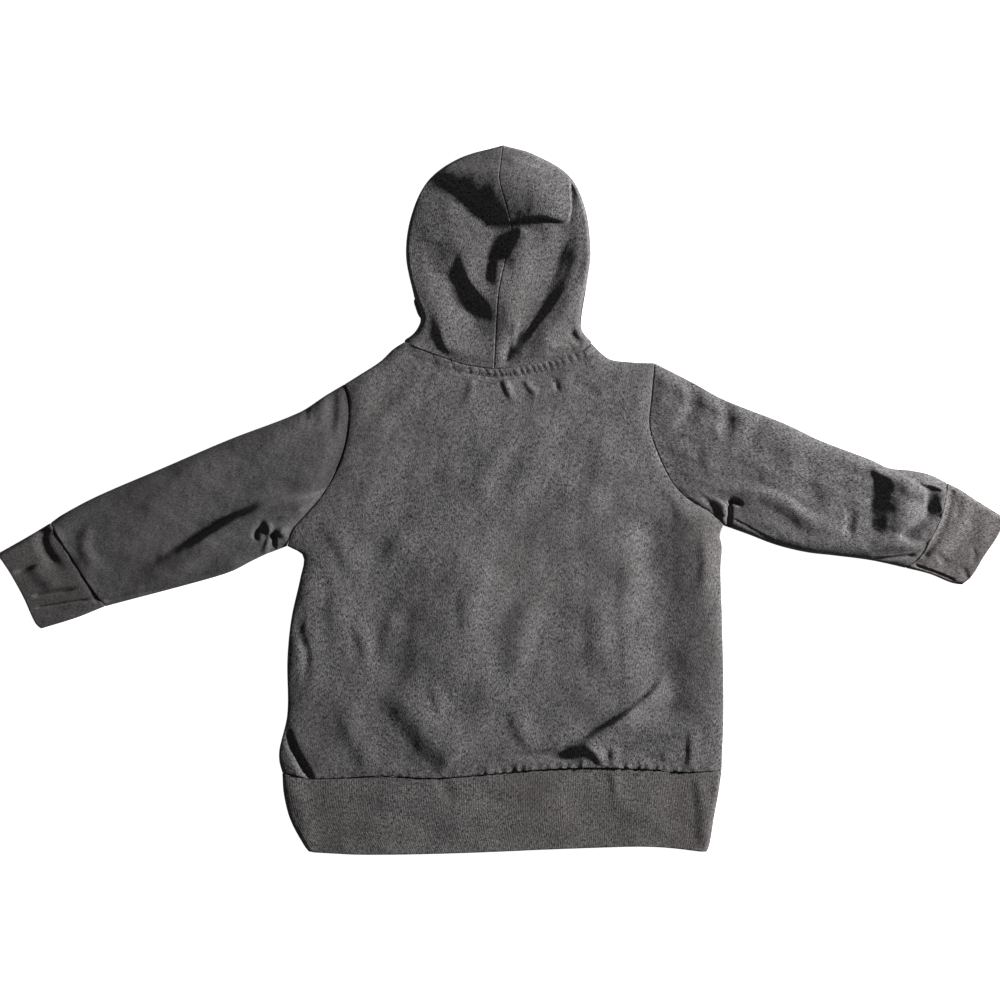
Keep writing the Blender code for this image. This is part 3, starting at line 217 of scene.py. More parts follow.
HEM_SEAM = [(-166.1, -208.0), (-144.0, -212.6), (-87.6, -210.8), (-52.6, -212.6), (-17.5, -210.3),
            (37.3, -205.7), (72.4, -204.7), (125.0, -206.5), (142.5, -208.0), (169.2, -206.5)]
BAND_SIDE_LEFT = [(-166.1, -208.0), (-165.0, -224.0), (-160.0, -243.8), (-149.4, -263.7),
                  (-145.5, -268.6)]
BAND_SIDE_RIGHT = [(169.2, -206.5), (166.9, -222.5), (163.4, -241.6), (160.0, -262.1),
                   (157.7, -268.6)]
HEM_EDGE = [(-145.5, -268.6), (-105.2, -270.5), (-35.1, -269.4), (72.4, -265.2), (118.1, -264.6),
            (157.7, -268.6)]

SLEEVE_UPPER_LEFT = [(-118.5, 88.4), (-132.6, 80.0), (-153.5, 66.7), (-205.7, 46.5), (-258.5, 23.9),
                     (-307.8, 2.7), (-333.8, -11.1), (-342.9, -17.5)]
SLEEVE_LOWER_LEFT = [(-162.3, -35.1), (-176.0, -40.4), (-188.2, -46.1), (-205.7, -54.9),
                     (-232.4, -62.9), (-282.7, -76.2), (-301.4, -81.2)]
CUFF_SEAM_LEFT = [(-342.9, -17.5), (-336.8, -28.6), (-326.6, -44.2), (-315.7, -61.3),
                  (-301.4, -81.2)]
CUFF_UPPER_LEFT = [(-342.9, -17.5), (-360.0, -27.8), (-383.5, -41.1)]
CUFF_LOWER_LEFT = [(-301.4, -81.2), (-323.1, -89.9), (-350.5, -98.3)]
CUFF_MOUTH_LEFT = [(-383.5, -41.1), (-374.1, -54.9), (-363.5, -73.9), (-354.7, -93.0),
                   (-350.5, -98.3)]

SLEEVE_UPPER_RIGHT = [(118.1, 104.4), (147.1, 89.5), (170.7, 76.6), (217.2, 58.3), (244.6, 45.3),
                      (283.5, 30.5), (296.4, 24.5), (313.9, 22.5), (327.7, 19.4), (341.0, 13.0)]
SLEEVE_LOWER_RIGHT = [(170.3, -19.4), (189.0, -26.1), (210.7, -34.3), (233.9, -39.9),
                      (254.5, -42.3), (283.5, -46.1), (309.4, -51.8)]
CUFF_SEAM_RIGHT = [(341.0, 13.0), (339.1, 1.5), (335.3, -14.5), (328.4, -29.0), (321.6, -41.9),
                   (309.4, -51.8)]
CUFF_UPPER_RIGHT = [(341.0, 13.0), (351.7, 7.6), (361.9, 0.8), (383.5, -12.6)]
CUFF_LOWER_RIGHT = [(309.4, -51.8), (327.7, -56.4), (343.7, -62.9), (352.8, -64.8)]
CUFF_MOUTH_RIGHT = [(383.5, -12.6), (381.0, -24.4), (368.0, -44.6), (360.4, -57.1),
                    (352.8, -64.8)]

HOOD_EDGE_LEFT = [(-73.2, 120.4), (-64.0, 129.2), (-60.4, 138.7), (-65.5, 156.2), (-71.6, 185.9),
                  (-67.8, 216.0), (-54.9, 243.1), (-31.5, 260.2), (2.3, 270.5)]
HOOD_EDGE_RIGHT = [(70.1, 119.3), (62.5, 129.5), (61.7, 138.7), (67.1, 171.1), (69.1, 189.0),
                   (65.1, 221.5), (52.8, 246.9), (25.6, 263.7), (2.3, 270.5)]
HOOD_SEAM = [(-4.6, 100.6), (-3.0, 130.3), (-0.9, 159.3), (4.6, 184.8), (9.0, 204.2),
             (5.2, 221.7), (-0.5, 243.1), (0.4, 255.3), (2.3, 270.5)]
FACE_EDGE_LEFT = [(-1.5, 65.0), (-19.0, 95.0), (-25.0, 130.0), (-27.0, 170.0), (-25.0, 205.0),
                  (-15.0, 232.0), (2.3, 243.0)]
FACE_EDGE_RIGHT = [(-1.5, 65.0), (17.0, 95.0), (23.0, 130.0), (26.0, 170.0), (25.0, 205.0),
                   (17.0, 232.0), (2.3, 243.0)]

# ---------------------------------------------------------------- folds
# A fold is a soft ridge (or trough, where its height is below 0) that runs along a bent
# line. It reaches out to its left and right by different amounts, so that one side may
# be steep, and it fades in and out over shares of its length.
Fold = namedtuple("Fold", "path height left right fade_in fade_out")
# A section runs across a form at one y. Each named crest or valley is crossed at (x, height).
HoodSection = namedtuple("HoodSection", "y left notch lobe valley foot bulge pocket seam fold gutter wall "
                                        "crest shoulder right")
CrownSection = namedtuple("CrownSection", "y left flank seam crest shoulder right")
HumpSection = namedtuple("HumpSection", "y start foot flank crest brink pit seam")

BODY_FOLDS = [
    Fold([(48, -192), (63.2, -185.9), (81.5, -174.5), (99.8, -161.5), (117.3, -147.1), (127.3, -134.1)],
          5.4, 4.4, 20, 0.18, 0.22),
    Fold([(42.7, -185.9), (58.7, -177.5), (77, -166.1), (95.2, -152.4), (112.8, -137.2)],
          -1.6, 13, 9, 0.3, 0.35),
    Fold([(63.2, -184.4), (72.4, -193.5), (80.8, -204.2)], 2.4, 9, 4, 0.3, 0.1),
    Fold([(86.1, -185.9), (86.1, -195.8), (85.3, -206.5)], 2.2, 8, 4, 0.35, 0.05),
    Fold([(0, -195.8), (34.3, -194.3), (70.1, -195.8)], -1.7, 5, 7, 0.35, 0.35),
    Fold([(106.7, -197.4), (115.8, -196.6), (128, -198.1)], -1, 4, 5, 0.35, 0.35),
    Fold([(118.1, -3.8), (118.9, -61), (120.4, -114.3), (120.4, -179.1)], -4, 38, 28, 0.15, 0.12),
    Fold([(144.8, -170.7), (145.5, -189), (144.8, -206.5)], 1.3, 9, 4, 0.35, 0.05),
    Fold([(-94.5, -7.6), (-91.4, -61), (-92.2, -106.7), (-89.9, -152.4)], -1.9, 30, 28, 0.25, 0.3),
    Fold([(-79.2, -82.3), (-86.1, -106.7), (-91.4, -125)], 1.5, 15, 9, 0.4, 0.4),
    Fold([(-27.4, -15.2), (-29.7, -76.2), (-32, -121.9), (-27.4, -167.6)], 3, 44, 50, 0.3, 0.25),
    Fold([(-112.8, -85.3), (-105.2, -106.7), (-98.3, -128)], 1.2, 12, 7, 0.4, 0.4),
    Fold([(-85.3, -140.2), (-71.6, -158.5), (-56.4, -177.5), (-42.7, -191.3), (-32.8, -201.9)],
          3.6, 30, 18, 0.3, 0.1),
    Fold([(-24.4, -64.8), (-25.1, -83.8), (-24.4, -106.7)], 1.2, 14, 10, 0.4, 0.4),
    Fold([(-51.8, -137.2), (-48, -152.4), (-41.1, -169.2)], 1.2, 12, 6, 0.4, 0.4),
    Fold([(-148.6, -80.8), (-153.2, -97.5), (-147.8, -118.1), (-149.4, -144.8)], -1.3, 6, 6, 0.3, 0.35),
    Fold([(-163.1, -170.7), (-158.5, -185.9), (-151.6, -199.6), (-143.3, -213.4)],
          -3.8, 3.5, 6, 0.3, 0.02),
    Fold([(3.8, 45.7), (-7.6, 22.9), (-21.3, -3.8)], 1.3, 14, 11, 0.4, 0.4),
    Fold([(-54.9, 94.5), (-79.2, 71.6), (-109.7, 39.6)], 1.3, 16, 12, 0.4, 0.4),
    Fold([(45.7, 53.3), (21.3, 19.1), (0, -15.2), (-22.9, -45.7)], 1.3, 18, 14, 0.4, 0.4),
    Fold([(83.8, 61), (76.2, 22.9), (61, -15.2)], 1, 20, 14, 0.4, 0.4),
    Fold([(-61, 0), (-77.7, -34.3), (-100.6, -76.2)], 1.3, 18, 12, 0.4, 0.4),
    Fold([(106.7, -30.5), (97.5, -68.6), (76.2, -106.7)], 1.3, 18, 13, 0.4, 0.4),
    Fold([(30.5, -68.6), (16.8, -106.7), (6.1, -144.8)], 2, 14, 20, 0.35, 0.4),
    Fold([(79.2, -68.6), (76.2, -106.7), (85.3, -144.8)], 1.8, 14, 18, 0.35, 0.4),
    Fold([(-129.5, -45.7), (-125, -76.2), (-129.5, -114.3)], 1.1, 16, 10, 0.4, 0.4),
    Fold([(-121.9, -152.4), (-112.8, -179.1), (-97.5, -204.2)], 1, 16, 10, 0.4, 0.2),
    Fold([(9.1, -152.4), (15.2, -175.3), (30.5, -192)], 1.3, 14, 9, 0.4, 0.3),
    Fold([(152.4, -22.9), (157, -45.7), (153.9, -76.2)], 1.2, 10, 8, 0.3, 0.4),
    Fold([(2.3, 93), (6.1, 83.8), (13, 70.1)], 1.3, 5, 4, 0.1, 0.5),
    Fold([(19.1, 91.4), (23.6, 85.3), (30.5, 77.7)], 1.2, 4, 4, 0.1, 0.5),
    Fold([(40.4, 93), (42.7, 86.9), (46.5, 78.5)], -1, 4, 3, 0.1, 0.5),
    Fold([(48, 93), (61, 86.9), (77.7, 77.7)], -0.9, 8, 8, 0.3, 0.4),
    Fold([(-21.3, 91.4), (-22.9, 82.3), (-29, 70.1)], 0.8, 6, 5, 0.1, 0.5),
    Fold([(-45.7, 97.5), (-51.8, 86.9), (-61, 74.7)], 0.7, 7, 6, 0.1, 0.5),
    Fold([(-137.2, -15.2), (-121.9, -34.3), (-112.8, -61)], 0.9, 12, 9, 0.3, 0.4),
    Fold([(121.9, 15.2), (134.1, 0), (144.8, -22.9)], 0.9, 12, 9, 0.3, 0.4),
]

LEFT_SLEEVE_FOLDS = [
    Fold([(-129.5, 5.3), (-153.9, 0.8), (-179.8, -5.3), (-198.9, -14.5), (-216.4, -25.1),
          (-232.4, -35.1), (-258.3, -48), (-282.7, -57.1)], 6.8, 17, 6.4, 0.16, 0.42),
    Fold([(-121.9, 9.1), (-135.6, 6.9), (-150.9, 3), (-167.6, -1.5), (-181.4, -5.3), (-198.1, -11.4)],
          3.2, 9, 2.4, 0.1, 0.25),
    Fold([(-143.3, 10.7), (-160, 9.1), (-181.4, 3.8), (-201.2, -5.3), (-219.5, -16), (-236.2, -25.9),
          (-260.6, -38.9), (-281.9, -48)], -1.8, 9, 15, 0.15, 0.35),
    Fold([(-158.5, -9.1), (-173.7, -14.5), (-190.5, -22.9), (-210.3, -35.1), (-228.6, -44.2)],
          1, 8, 7, 0.2, 0.4),
    Fold([(-147.8, -6.1), (-160, -10.7), (-170.7, -14.5)], 1.4, 4, 3, 0.2, 0.3),
    Fold([(-177.5, -16), (-182.9, -19.8), (-185.9, -25.9), (-184.4, -32.8)], -2.2, 3, 4.5, 0.25, 0.25),
    Fold([(-176, -16), (-175.3, -24.4), (-176.8, -35.1), (-180.6, -42.7)], 2.6, 3.4, 4.2, 0.2, 0.2),
    Fold([(-174.5, -22.9), (-172.2, -31.2), (-173, -41.1)], -3.2, 3, 9, 0.2, 0.05),
    Fold([(-152.4, -31.2), (-159.3, -28.2), (-166.9, -25.9), (-172.2, -21.3)], 3.4, 2.6, 9, 0.02, 0.35),
    Fold([(-153.9, -36.6), (-163.1, -35.1), (-173.7, -38.1)], -2.2, 3, 6, 0.02, 0.1),
    Fold([(-302.5, -77.7), (-275.8, -71.6), (-255.3, -67.1), (-232.4, -59.4), (-216.4, -55.6),
          (-201.2, -50.3)], -3, 2.2, 1.6, 0.05, 0.3),
    Fold([(-127.3, 88.4), (-128, 73.2), (-128.8, 59.4), (-133.3, 45.7)], -1.6, 7, 9, 0.05, 0.4),
    Fold([(-146.3, 74.7), (-147.8, 67.1), (-148.6, 57.9)], -1, 3.5, 3, 0.02, 0.5),
    Fold([(-138.7, 62.5), (-150.9, 54.9), (-170.7, 47.2), (-190.5, 36.6)], 1.6, 14, 12, 0.3, 0.4),
    Fold([(-152.4, 22.9), (-181.4, 15.2), (-213.4, 1.5), (-243.8, -15.2)], -1.2, 14, 14, 0.3, 0.4),
    Fold([(-198.1, 36.6), (-228.6, 19.8), (-266.7, 0), (-297.2, -15.2)], 1.5, 18, 20, 0.3, 0.4),
    Fold([(-266.7, 7.6), (-281.9, -15.2), (-304.8, -34.3)], -1, 14, 12, 0.4, 0.4),
    Fold([(-310.9, -15.2), (-317, -34.3), (-306.3, -54.9)], 1.3, 8, 8, 0.3, 0.3),
    Fold([(-228.6, -45.7), (-251.5, -56.4), (-274.3, -62.5)], 1, 8, 6, 0.4, 0.4),
]

RIGHT_SLEEVE_FOLDS = [
    Fold([(137.2, 99.1), (144.8, 89.2), (147.8, 79.2), (146.3, 70.1), (139.4, 61), (128, 52.6)],
          -2.3, 12, 9, 0.05, 0.35),
    Fold([(167.6, 85.3), (172.2, 73.9), (173, 62.5), (172.2, 51.8), (178.3, 42.7)],
          -2.2, 10, 8, 0.05, 0.35),
    Fold([(161.5, 45.7), (158.5, 30.5), (164.6, 15.2)], 1, 12, 10, 0.4, 0.4),
    Fold([(201.2, 68.6), (192, 48.8), (179.8, 33.5)], -1.1, 10, 10, 0.2, 0.5),
    Fold([(150.9, 6.1), (157, 0), (163.1, -6.1), (167.6, -13.7)], -0.9, 3.5, 3.5, 0.3, 0.1),
    Fold([(161.5, 0), (168.4, -2.3), (171.4, -8.4), (169.9, -18.3)], 1.7, 2.5, 6, 0.25, 0.05),
    Fold([(173, -2.3), (178.3, -0.8), (185.9, -3.8)], -4, 2.5, 4, 0.15, 0.4),
    Fold([(174.5, -2.3), (174.5, -9.9), (173.7, -19.8)], -2.6, 3.2, 2.2, 0.15, 0.02),
    Fold([(173.7, 3), (185.9, 5.3), (200.4, 4.6), (217.9, -2.3), (233.9, -13.7), (251.5, -19.1),
          (263.7, -25.1)], 2.3, 7, 12, 0.2, 0.35),
    Fold([(177.5, -14.5), (190.5, -21.3), (210.3, -32), (225.6, -36.6)], -0.6, 1.8, 2.4, 0.05, 0.5),
    Fold([(243.8, 30.5), (248.4, 7.6), (257.6, -11.4)], 1.4, 16, 12, 0.4, 0.4),
    Fold([(268.2, -4.6), (265.9, -16.8), (263.7, -32)], -1.6, 7, 6, 0.35, 0.35),
    Fold([(221, 53.3), (221, 30.5), (230.1, 7.6)], 0.9, 16, 14, 0.4, 0.4),
    Fold([(317, 13), (327.7, 11.4), (338.3, 7.6)], 2, 2, 2, 0.25, 0.05),
    Fold([(281.9, -45), (296.4, -44.2), (309.4, -42.7), (318.5, -41.9)], -2.6, 2, 3, 0.2, 0.2),
]

LEFT_CUFF_FOLDS = [
    Fold([(-347.5, -20.6), (-349, -30.5), (-343.7, -42.7), (-330.7, -56.4)], -2.2, 7, 8, 0.05, 0.4),
    Fold([(-371.9, -55.6), (-362.7, -52.6), (-350.5, -48)], -2, 2, 4, 0.35, 0.5),
    Fold([(-355.1, -73.9), (-339.9, -70.9), (-327.7, -68.6), (-320, -64.8)], -2.4, 4, 2, 0.05, 0.4),
    Fold([(-353.6, -82.3), (-335.3, -79.2), (-310.9, -75.4)], -2.2, 1.6, 1.6, 0.05, 0.2),
    Fold([(-358.1, -45.7), (-350.5, -57.1), (-335.3, -68.6)], 1.2, 10, 9, 0.3, 0.3),
    Fold([(-330.7, -32.8), (-317, -54.9), (-304.8, -78.5)], -0.9, 4, 6, 0.05, 0.05),
]

RIGHT_CUFF_FOLDS = [
    Fold([(338.3, 16.8), (336, -3.8), (332.2, -19.1), (324.6, -34.3), (315.5, -50.3)],
          4.2, 20, 12, 0.12, 0.3),
    Fold([(343.7, 9.9), (342.1, -3.8), (338.3, -16.8), (330.7, -31.2), (320, -45.7)],
          -2, 5, 4, 0.05, 0.1),
    Fold([(353.6, 6.1), (353.6, -9.1), (348.2, -22.9), (338.3, -36.6), (329.2, -47.2)],
          1.6, 8, 7, 0.1, 0.2),
    Fold([(332.2, -39.6), (336.8, -45), (341.4, -49.5)], -1.1, 5, 4, 0.35, 0.35),
    Fold([(350.5, -50.3), (354.3, -54.9), (355.9, -61)], -1, 4, 4, 0.35, 0.2),
    Fold([(359.7, -34.3), (361.9, -43.4), (358.1, -50.3)], -0.8, 3, 3, 0.35, 0.35),
    Fold([(315.5, -49.5), (333, -55.6), (347.5, -61.7)], -1.6, 2, 1.8, 0.1, 0.1),
    Fold([(369.6, -9.1), (368.8, -22.9), (364.2, -36.6)], 0.8, 9, 9, 0.3, 0.3),
]

BAND_FOLDS = [
    Fold([(-161.5, -213.4), (-152.4, -233.2), (-144.8, -265.2)], 0.9, 12, 9, 0.1, 0.1),
    Fold([(150.9, -211.8), (154.7, -236.2), (155.4, -263.7)], 1, 10, 8, 0.1, 0.1),
    Fold([(-114.3, -228.6), (-87.6, -237.7), (-57.1, -233.2)], -0.7, 12, 12, 0.4, 0.4),
    Fold([(-22.9, -221), (0, -228.6), (30.5, -224.8)], -0.7, 10, 12, 0.4, 0.4),
    Fold([(76.2, -228.6), (106.7, -237.7), (137.2, -233.2)], 0.7, 12, 12, 0.4, 0.4),
    Fold([(-47.2, -210.3), (-41.1, -221), (-36.6, -233.2)], -0.8, 9, 9, 0.05, 0.5),
    Fold([(85.3, -207.3), (88.4, -219.5), (86.9, -233.2)], 0.8, 8, 6, 0.05, 0.5),
    Fold([(22.9, -243.8), (45.7, -248.4), (76.2, -246.9)], 0.6, 12, 12, 0.4, 0.4),
]

HOOD_FOLDS = [
    Fold([(3, 261.4), (12.2, 256.8), (25.9, 252.2), (39.6, 244.6)], 0.7, 4, 4, 0.2, 0.4),
    Fold([(18.3, 233.2), (20.6, 224), (16.8, 217.9)], -0.5, 6, 7, 0.4, 0.4),
    Fold([(12.2, 138.7), (10.7, 125), (7.6, 114.3)], 0.9, 4, 4, 0.35, 0.2),
    Fold([(35.1, 112), (42.7, 112), (52.6, 113.5)], -1.4, 4, 2, 0.2, 0.2),
    Fold([(52.6, 131.1), (57.1, 123.4), (64, 117.3)], -1.4, 5, 5, 0.3, 0.2),
    Fold([(17.5, 208.8), (14.5, 199.6), (8.4, 189), (1.5, 179.1)], 2.3, 17, 5, 0.2, 0.35),
    Fold([(0, 189), (-2.3, 175.3), (-1.5, 160)], 1.3, 10, 6, 0.35, 0.5),
]

HOOD_LOWER = [
    HoodSection(240, (-54.9, -2.6), (-53.3, -2.4), (-50.3, -2), (-48, -1.7), (-45.7, -1.4), (-41.1, -0.9),
            (-22.9, 0.6), (0, 2.5), (34.3, 8), (51.8, 9.5), (55.6, 11), (59.4, 12.5), (62.5, 12.5),
            (67.1, 11.5)),
    HoodSection(221, (-65.5, -1.4), (-64, -1.2), (-61, -0.7), (-57.9, -0.3), (-45.7, 1.3), (-36.6, 2.2),
            (-19.8, 2.2), (2.3, 3.5), (36.6, 10.5), (52.6, 11), (55.6, 11.5), (59.4, 12), (62.5, 12),
            (67.1, 11.5)),
    HoodSection(201.9, (-70.1, -0.5), (-68.6, -0.3), (-66.3, 0), (-64, 0.3), (-45.7, 2.6), (-35.1, 3.6),
            (-4.6, 2.6), (17.5, 8.4), (36.6, 11), (51.8, 9.7), (55.6, 10.1), (61, 10.8), (64, 10.8),
            (68.6, 9.8)),
    HoodSection(190.5, (-70.1, 0.7), (-67.8, 0.8), (-59.4, 1), (-54.9, 0.7), (-38.1, 3.2), (-29.7, 4.6),
            (-6.1, 2.8), (15.2, 9.2), (25.9, 9.9), (46.5, 7.2), (51.8, 8.5), (60.2, 10.5), (64.8, 10.3),
            (68.6, 9.6)),
    HoodSection(179.1, (-70.1, 0.7), (-67.8, 1), (-61, 1.1), (-53.3, 0.6), (-33.5, 3), (-27.4, 5.2),
            (-9.1, 3.7), (-0.8, 6), (13, 8.6), (41.9, 4.6), (49.5, 6.5), (58.7, 8.9), (64, 8.8),
            (67.8, 8.2)),
    HoodSection(167.6, (-68.6, 0.6), (-66.3, 1), (-54.9, 1.6), (-39.6, 0.4), (-29, 1.9), (-22.9, 5.3),
            (-12.2, 4.9), (-2.3, 7.4), (7.6, 8.4), (37.3, 4), (44.2, 5.6), (55.6, 8.5), (61.7, 8.5),
            (66.3, 7.4)),
    HoodSection(156.2, (-66.3, 0.3), (-64, 0.6), (-52.6, 2), (-35.1, 0.7), (-22.1, 2.6), (-14.5, 7),
            (-7.6, 7.6), (-0.8, 8.2), (4.6, 8.4), (32.8, 3.6), (38.1, 4.2), (48, 8.4), (55.6, 9.2),
            (64, 7)),
    HoodSection(144.8, (-63.2, 0.2), (-57.9, 1), (-48.8, 2), (-25.9, -0.5), (-14.5, 1), (-6.9, 4.9),
            (-2.3, 5.8), (0.8, 6.3), (5.3, 6.7), (25.1, 3), (30.5, 3.2), (40.4, 7.3), (49.5, 8.4),
            (61.7, 4.6)),
    HoodSection(133.3, (-66.3, -1), (-52.6, 0.5), (-45.7, 2), (-18.3, 0.1), (-11.4, 1.2), (-4.6, 2.6),
            (-2.3, 3), (0, 3.4), (6.9, 4.1), (19.8, 1.9), (24.4, 2.1), (30.5, 4.9), (40.4, 5.8),
            (57.9, 2.2)),
    HoodSection(121.9, (-67.8, -2), (-48.8, -1.2), (-42.7, 0.9), (-13.7, -0.7), (-9.1, -0.5), (-5.3, -0.2),
            (-3, -0.1), (0, 0.3), (5.3, 0.3), (9.9, -1.3), (15.2, -0.2), (22.9, 2.8), (35.1, 4.3),
            (52.6, -0.4)),
    HoodSection(110.5, (-72.4, -2.6), (-43.4, -2), (-37.3, 0), (-9.9, -1.2), (-6.9, -1.1), (-4.6, -1),
            (-2.3, -0.9), (-1.1, -0.7), (0.8, -1), (5.3, -2.5), (10.7, -0.6), (17.5, 0.9), (39.6, 1.8),
            (54.9, -1.5)),
    HoodSection(98.3, (-76.2, -3), (-41.1, -3), (-29, -1), (-8.4, -1.6), (-6.1, -1.6), (-3.8, -1.5),
            (-2.3, -1.5), (-1.1, -1.5), (0, -1.6), (2.3, -2), (6.9, -1.2), (15.2, -0.8), (41.9, -0.4),
            (64.8, -2)),
]
HOOD_CROWN = [
    CrownSection(268.2, (-16.8, -0.6), (-7.6, 0.4), (2.3, 1.3), (15.2, 1.6), (22.9, 1.2), (31.2, 0.2)),
    CrownSection(259.1, (-32, -1.2), (-16.8, 2), (1.5, 5), (15.2, 6), (25.1, 5), (36.6, 1)),
    CrownSection(247.7, (-48, -1.7), (-25.9, 6.9), (-4.6, 12), (18.3, 14.2), (34.3, 12.4), (50.3, 9)),
    CrownSection(236.2, (-39.6, -0.9), (-15.2, 9), (0, 13.2), (28.2, 16.4), (39.6, 15.6), (54.9, 12.8)),
    CrownSection(224.8, (-19.8, 2.4), (-2.3, 10.1), (5.3, 12.2), (32.8, 16.8), (42.7, 16), (52.6, 13)),
    CrownSection(213.4, (-3, 4.6), (3, 7.4), (7.6, 9.6), (35.1, 15.6), (43.4, 15), (51.1, 13.6)),
    CrownSection(205.7, (0, 5), (6.1, 7.8), (10.7, 9.8), (35.1, 15), (43.4, 14), (50.3, 12.4)),
]
CROWN_EDGE = np.array([(-57.9, 254.5), (-48, 246.9), (-38.1, 238.5), (-27.4, 230.1), (-17.5, 222.5),
            (-7.6, 215.6), (1.5, 211.1), (10.7, 212.2), (21.3, 214.1), (31.2, 214.5), (39.6, 213),
            (47.2, 211.1), (51.8, 212.6), (53.7, 221), (53.7, 232.4), (53, 245.4), (50.3, 259.1),
            (47.2, 268.2)])

SLEEVE_HUMP = [
    HumpSection(36.6, (275.8, 0), (280.4, 0), (286.5, 0), (292.6, 0), (296.4, 0), (299.5, 0), (337.6, 1.5)),
    HumpSection(24.4, (275.8, 0), (280.4, 0.2), (286.5, 2), (292.6, 2.8), (296.4, 2.6), (299.5, 0.2),
            (337.6, 3)),
    HumpSection(15.2, (275.8, 0), (284.2, -0.3), (299.5, 5.6), (307.1, 6.6), (310.9, 6.6), (315.5, 3.5),
            (337.6, 4)),
    HumpSection(6.1, (275.8, 0), (285, 0), (301, 6.2), (310.9, 7.8), (322.3, 6.5), (325.4, 1.5),
            (336, 4.5)),
    HumpSection(-3.8, (275.8, 0), (281.2, -0.2), (296.4, 5.2), (304.8, 6.8), (323.1, 1.8), (325.4, -1),
            (336, 4.4)),
    HumpSection(-11.4, (275.8, 0), (281.2, 0), (296.4, 5.2), (304.8, 6.8), (320.8, 2), (324.6, -1.2),
            (339.1, 4)),
    HumpSection(-19.1, (275.8, 0), (281.9, 0), (295.7, 4.6), (304, 5.4), (312.4, 4), (315.5, 0.5),
            (326.1, 3)),
    HumpSection(-26.7, (275.8, 0), (284.2, 0), (296.4, 2), (301.8, 2.4), (304, 1.8), (307.1, -0.5),
            (320.8, 2.8)),
    HumpSection(-34.3, (275.8, 0), (278.9, 0), (289.6, 1.6), (304.8, 3), (309.4, 3.2), (313.2, 2.4),
            (326.9, 0.8)),
    HumpSection(-41.9, (275.8, 0), (280.4, 0), (286.5, -0.4), (295.7, -0.8), (304.8, -1), (310.9, -1.1),
            (324.6, -1.2)),
    HumpSection(-50.3, (275.8, 0), (280.4, 0), (286.5, 0), (292.6, 0), (296.4, 0), (299.5, 0), (322.3, 0)),
]

# ---------------------------------------------------------------- lines and grids of points
def smooth_line(points, count=EDGE_SAMPLES):
    """Return count + 1 evenly spaced points on a smooth curve through the given points."""
    knots = np.array(points, dtype=float)
    padded = np.vstack([2 * knots[0] - knots[1], knots, 2 * knots[-1] - knots[-2]])
    steps = np.linspace(0.0, 1.0, SPAN_STEPS + 1)[:-1, None]
    spans = []
    for before, start, end, after in zip(padded, padded[1:], padded[2:], padded[3:]):
        reach = np.linalg.norm(end - start)
        leave = (end - before) * reach / (reach + np.linalg.norm(start - before))
        arrive = (after - start) * reach / (reach + np.linalg.norm(after - end))
        spans.append((2 * steps**3 - 3 * steps**2 + 1) * start + (steps**3 - 2 * steps**2 + steps) * leave
                     + (3 * steps**2 - 2 * steps**3) * end + (steps**3 - steps**2) * arrive)
    return evenly(np.vstack(spans + [knots[-1:]]), count)


def evenly(line, count):
    """Return count + 1 points spaced evenly by length along a line of points."""
    return at_shares([line], [np.linspace(0.0, 1.0, count + 1)])[0]


def at_shares(lines, shares):
    """Points of each line at the given shares of its length (one row of shares for each line)."""
    rows = []
    for line, wanted in zip(lines, shares):
        lengths = np.concatenate([[0.0], np.cumsum(np.linalg.norm(np.diff(line, axis=0), axis=1))])
        rows.append(np.column_stack([np.interp(wanted * lengths[-1], lengths, line[:, axis])
                                     for axis in range(line.shape[1])]))
    return np.array(rows)


def at_places(line, shares):
    """Points of a line at the given shares of its own count of points, so that its corners stay put."""
    places = np.arange(len(line)) / (len(line) - 1)
    return np.column_stack([np.interp(shares, places, line[:, axis]) for axis in range(line.shape[1])])


def joined(*lines):
    """Put lines end to end, keeping each shared point once."""
    return np.vstack([lines[0]] + [line[1:] for line in lines[1:]])


def headings(line):
    """Unit directions along a line of points."""
    run = np.gradient(line, axis=0)
    return run / np.linalg.norm(run, axis=1)[:, None]


def moved(line, distance):
    """Move a line sideways in plan, to its left seen along its run where distance is above 0."""
    run = headings(line)
    return line + distance * np.column_stack([-run[:, 1], run[:, 0]])


def close_at_ends(count, length, first=SEAM_STEPS, last=SEAM_STEPS):
    """Even shares of a length, with closer ones beside both ends, where lips and edges curl."""
    even = np.linspace(0.0, 1.0, count + 1)
    start, end = np.array(first) / length, 1.0 - np.array(last)[::-1] / length
    inner = even[(even > EVEN_FROM * start[-1]) & (1.0 - even > EVEN_FROM * (1.0 - end[0]))]
    return np.concatenate([[0.0], start, inner, end, [1.0]])


def shared_patch(bottom, top, left, right, across, along):
    """Fill the four lines round a panel with a grid of plan points, rows from bottom to top."""
    between_rows = (1 - along[:, None, None]) * bottom[None] + along[:, None, None] * top[None]
    between_columns = (1 - across[None, :, None]) * left[:, None] + across[None, :, None] * right[:, None]
    share, climb = across[None, :, None], along[:, None, None]
    corners = ((1 - climb) * ((1 - share) * bottom[0] + share * bottom[-1])
               + climb * ((1 - share) * top[0] + share * top[-1]))
    return between_rows + between_columns - corners


def rounding(distance, width):
    """Rise of a quarter round, from 0 at an edge to 1 at the given width from it."""
    reach = np.clip(distance / width, 0.0, 1.0)
    return np.sqrt(1.0 - (1.0 - reach) ** 2)


def eased(value):
    """Go from 0 to 1 with soft ends."""
    held = np.clip(value, 0.0, 1.0)
    return held * held * (3.0 - 2.0 * held)


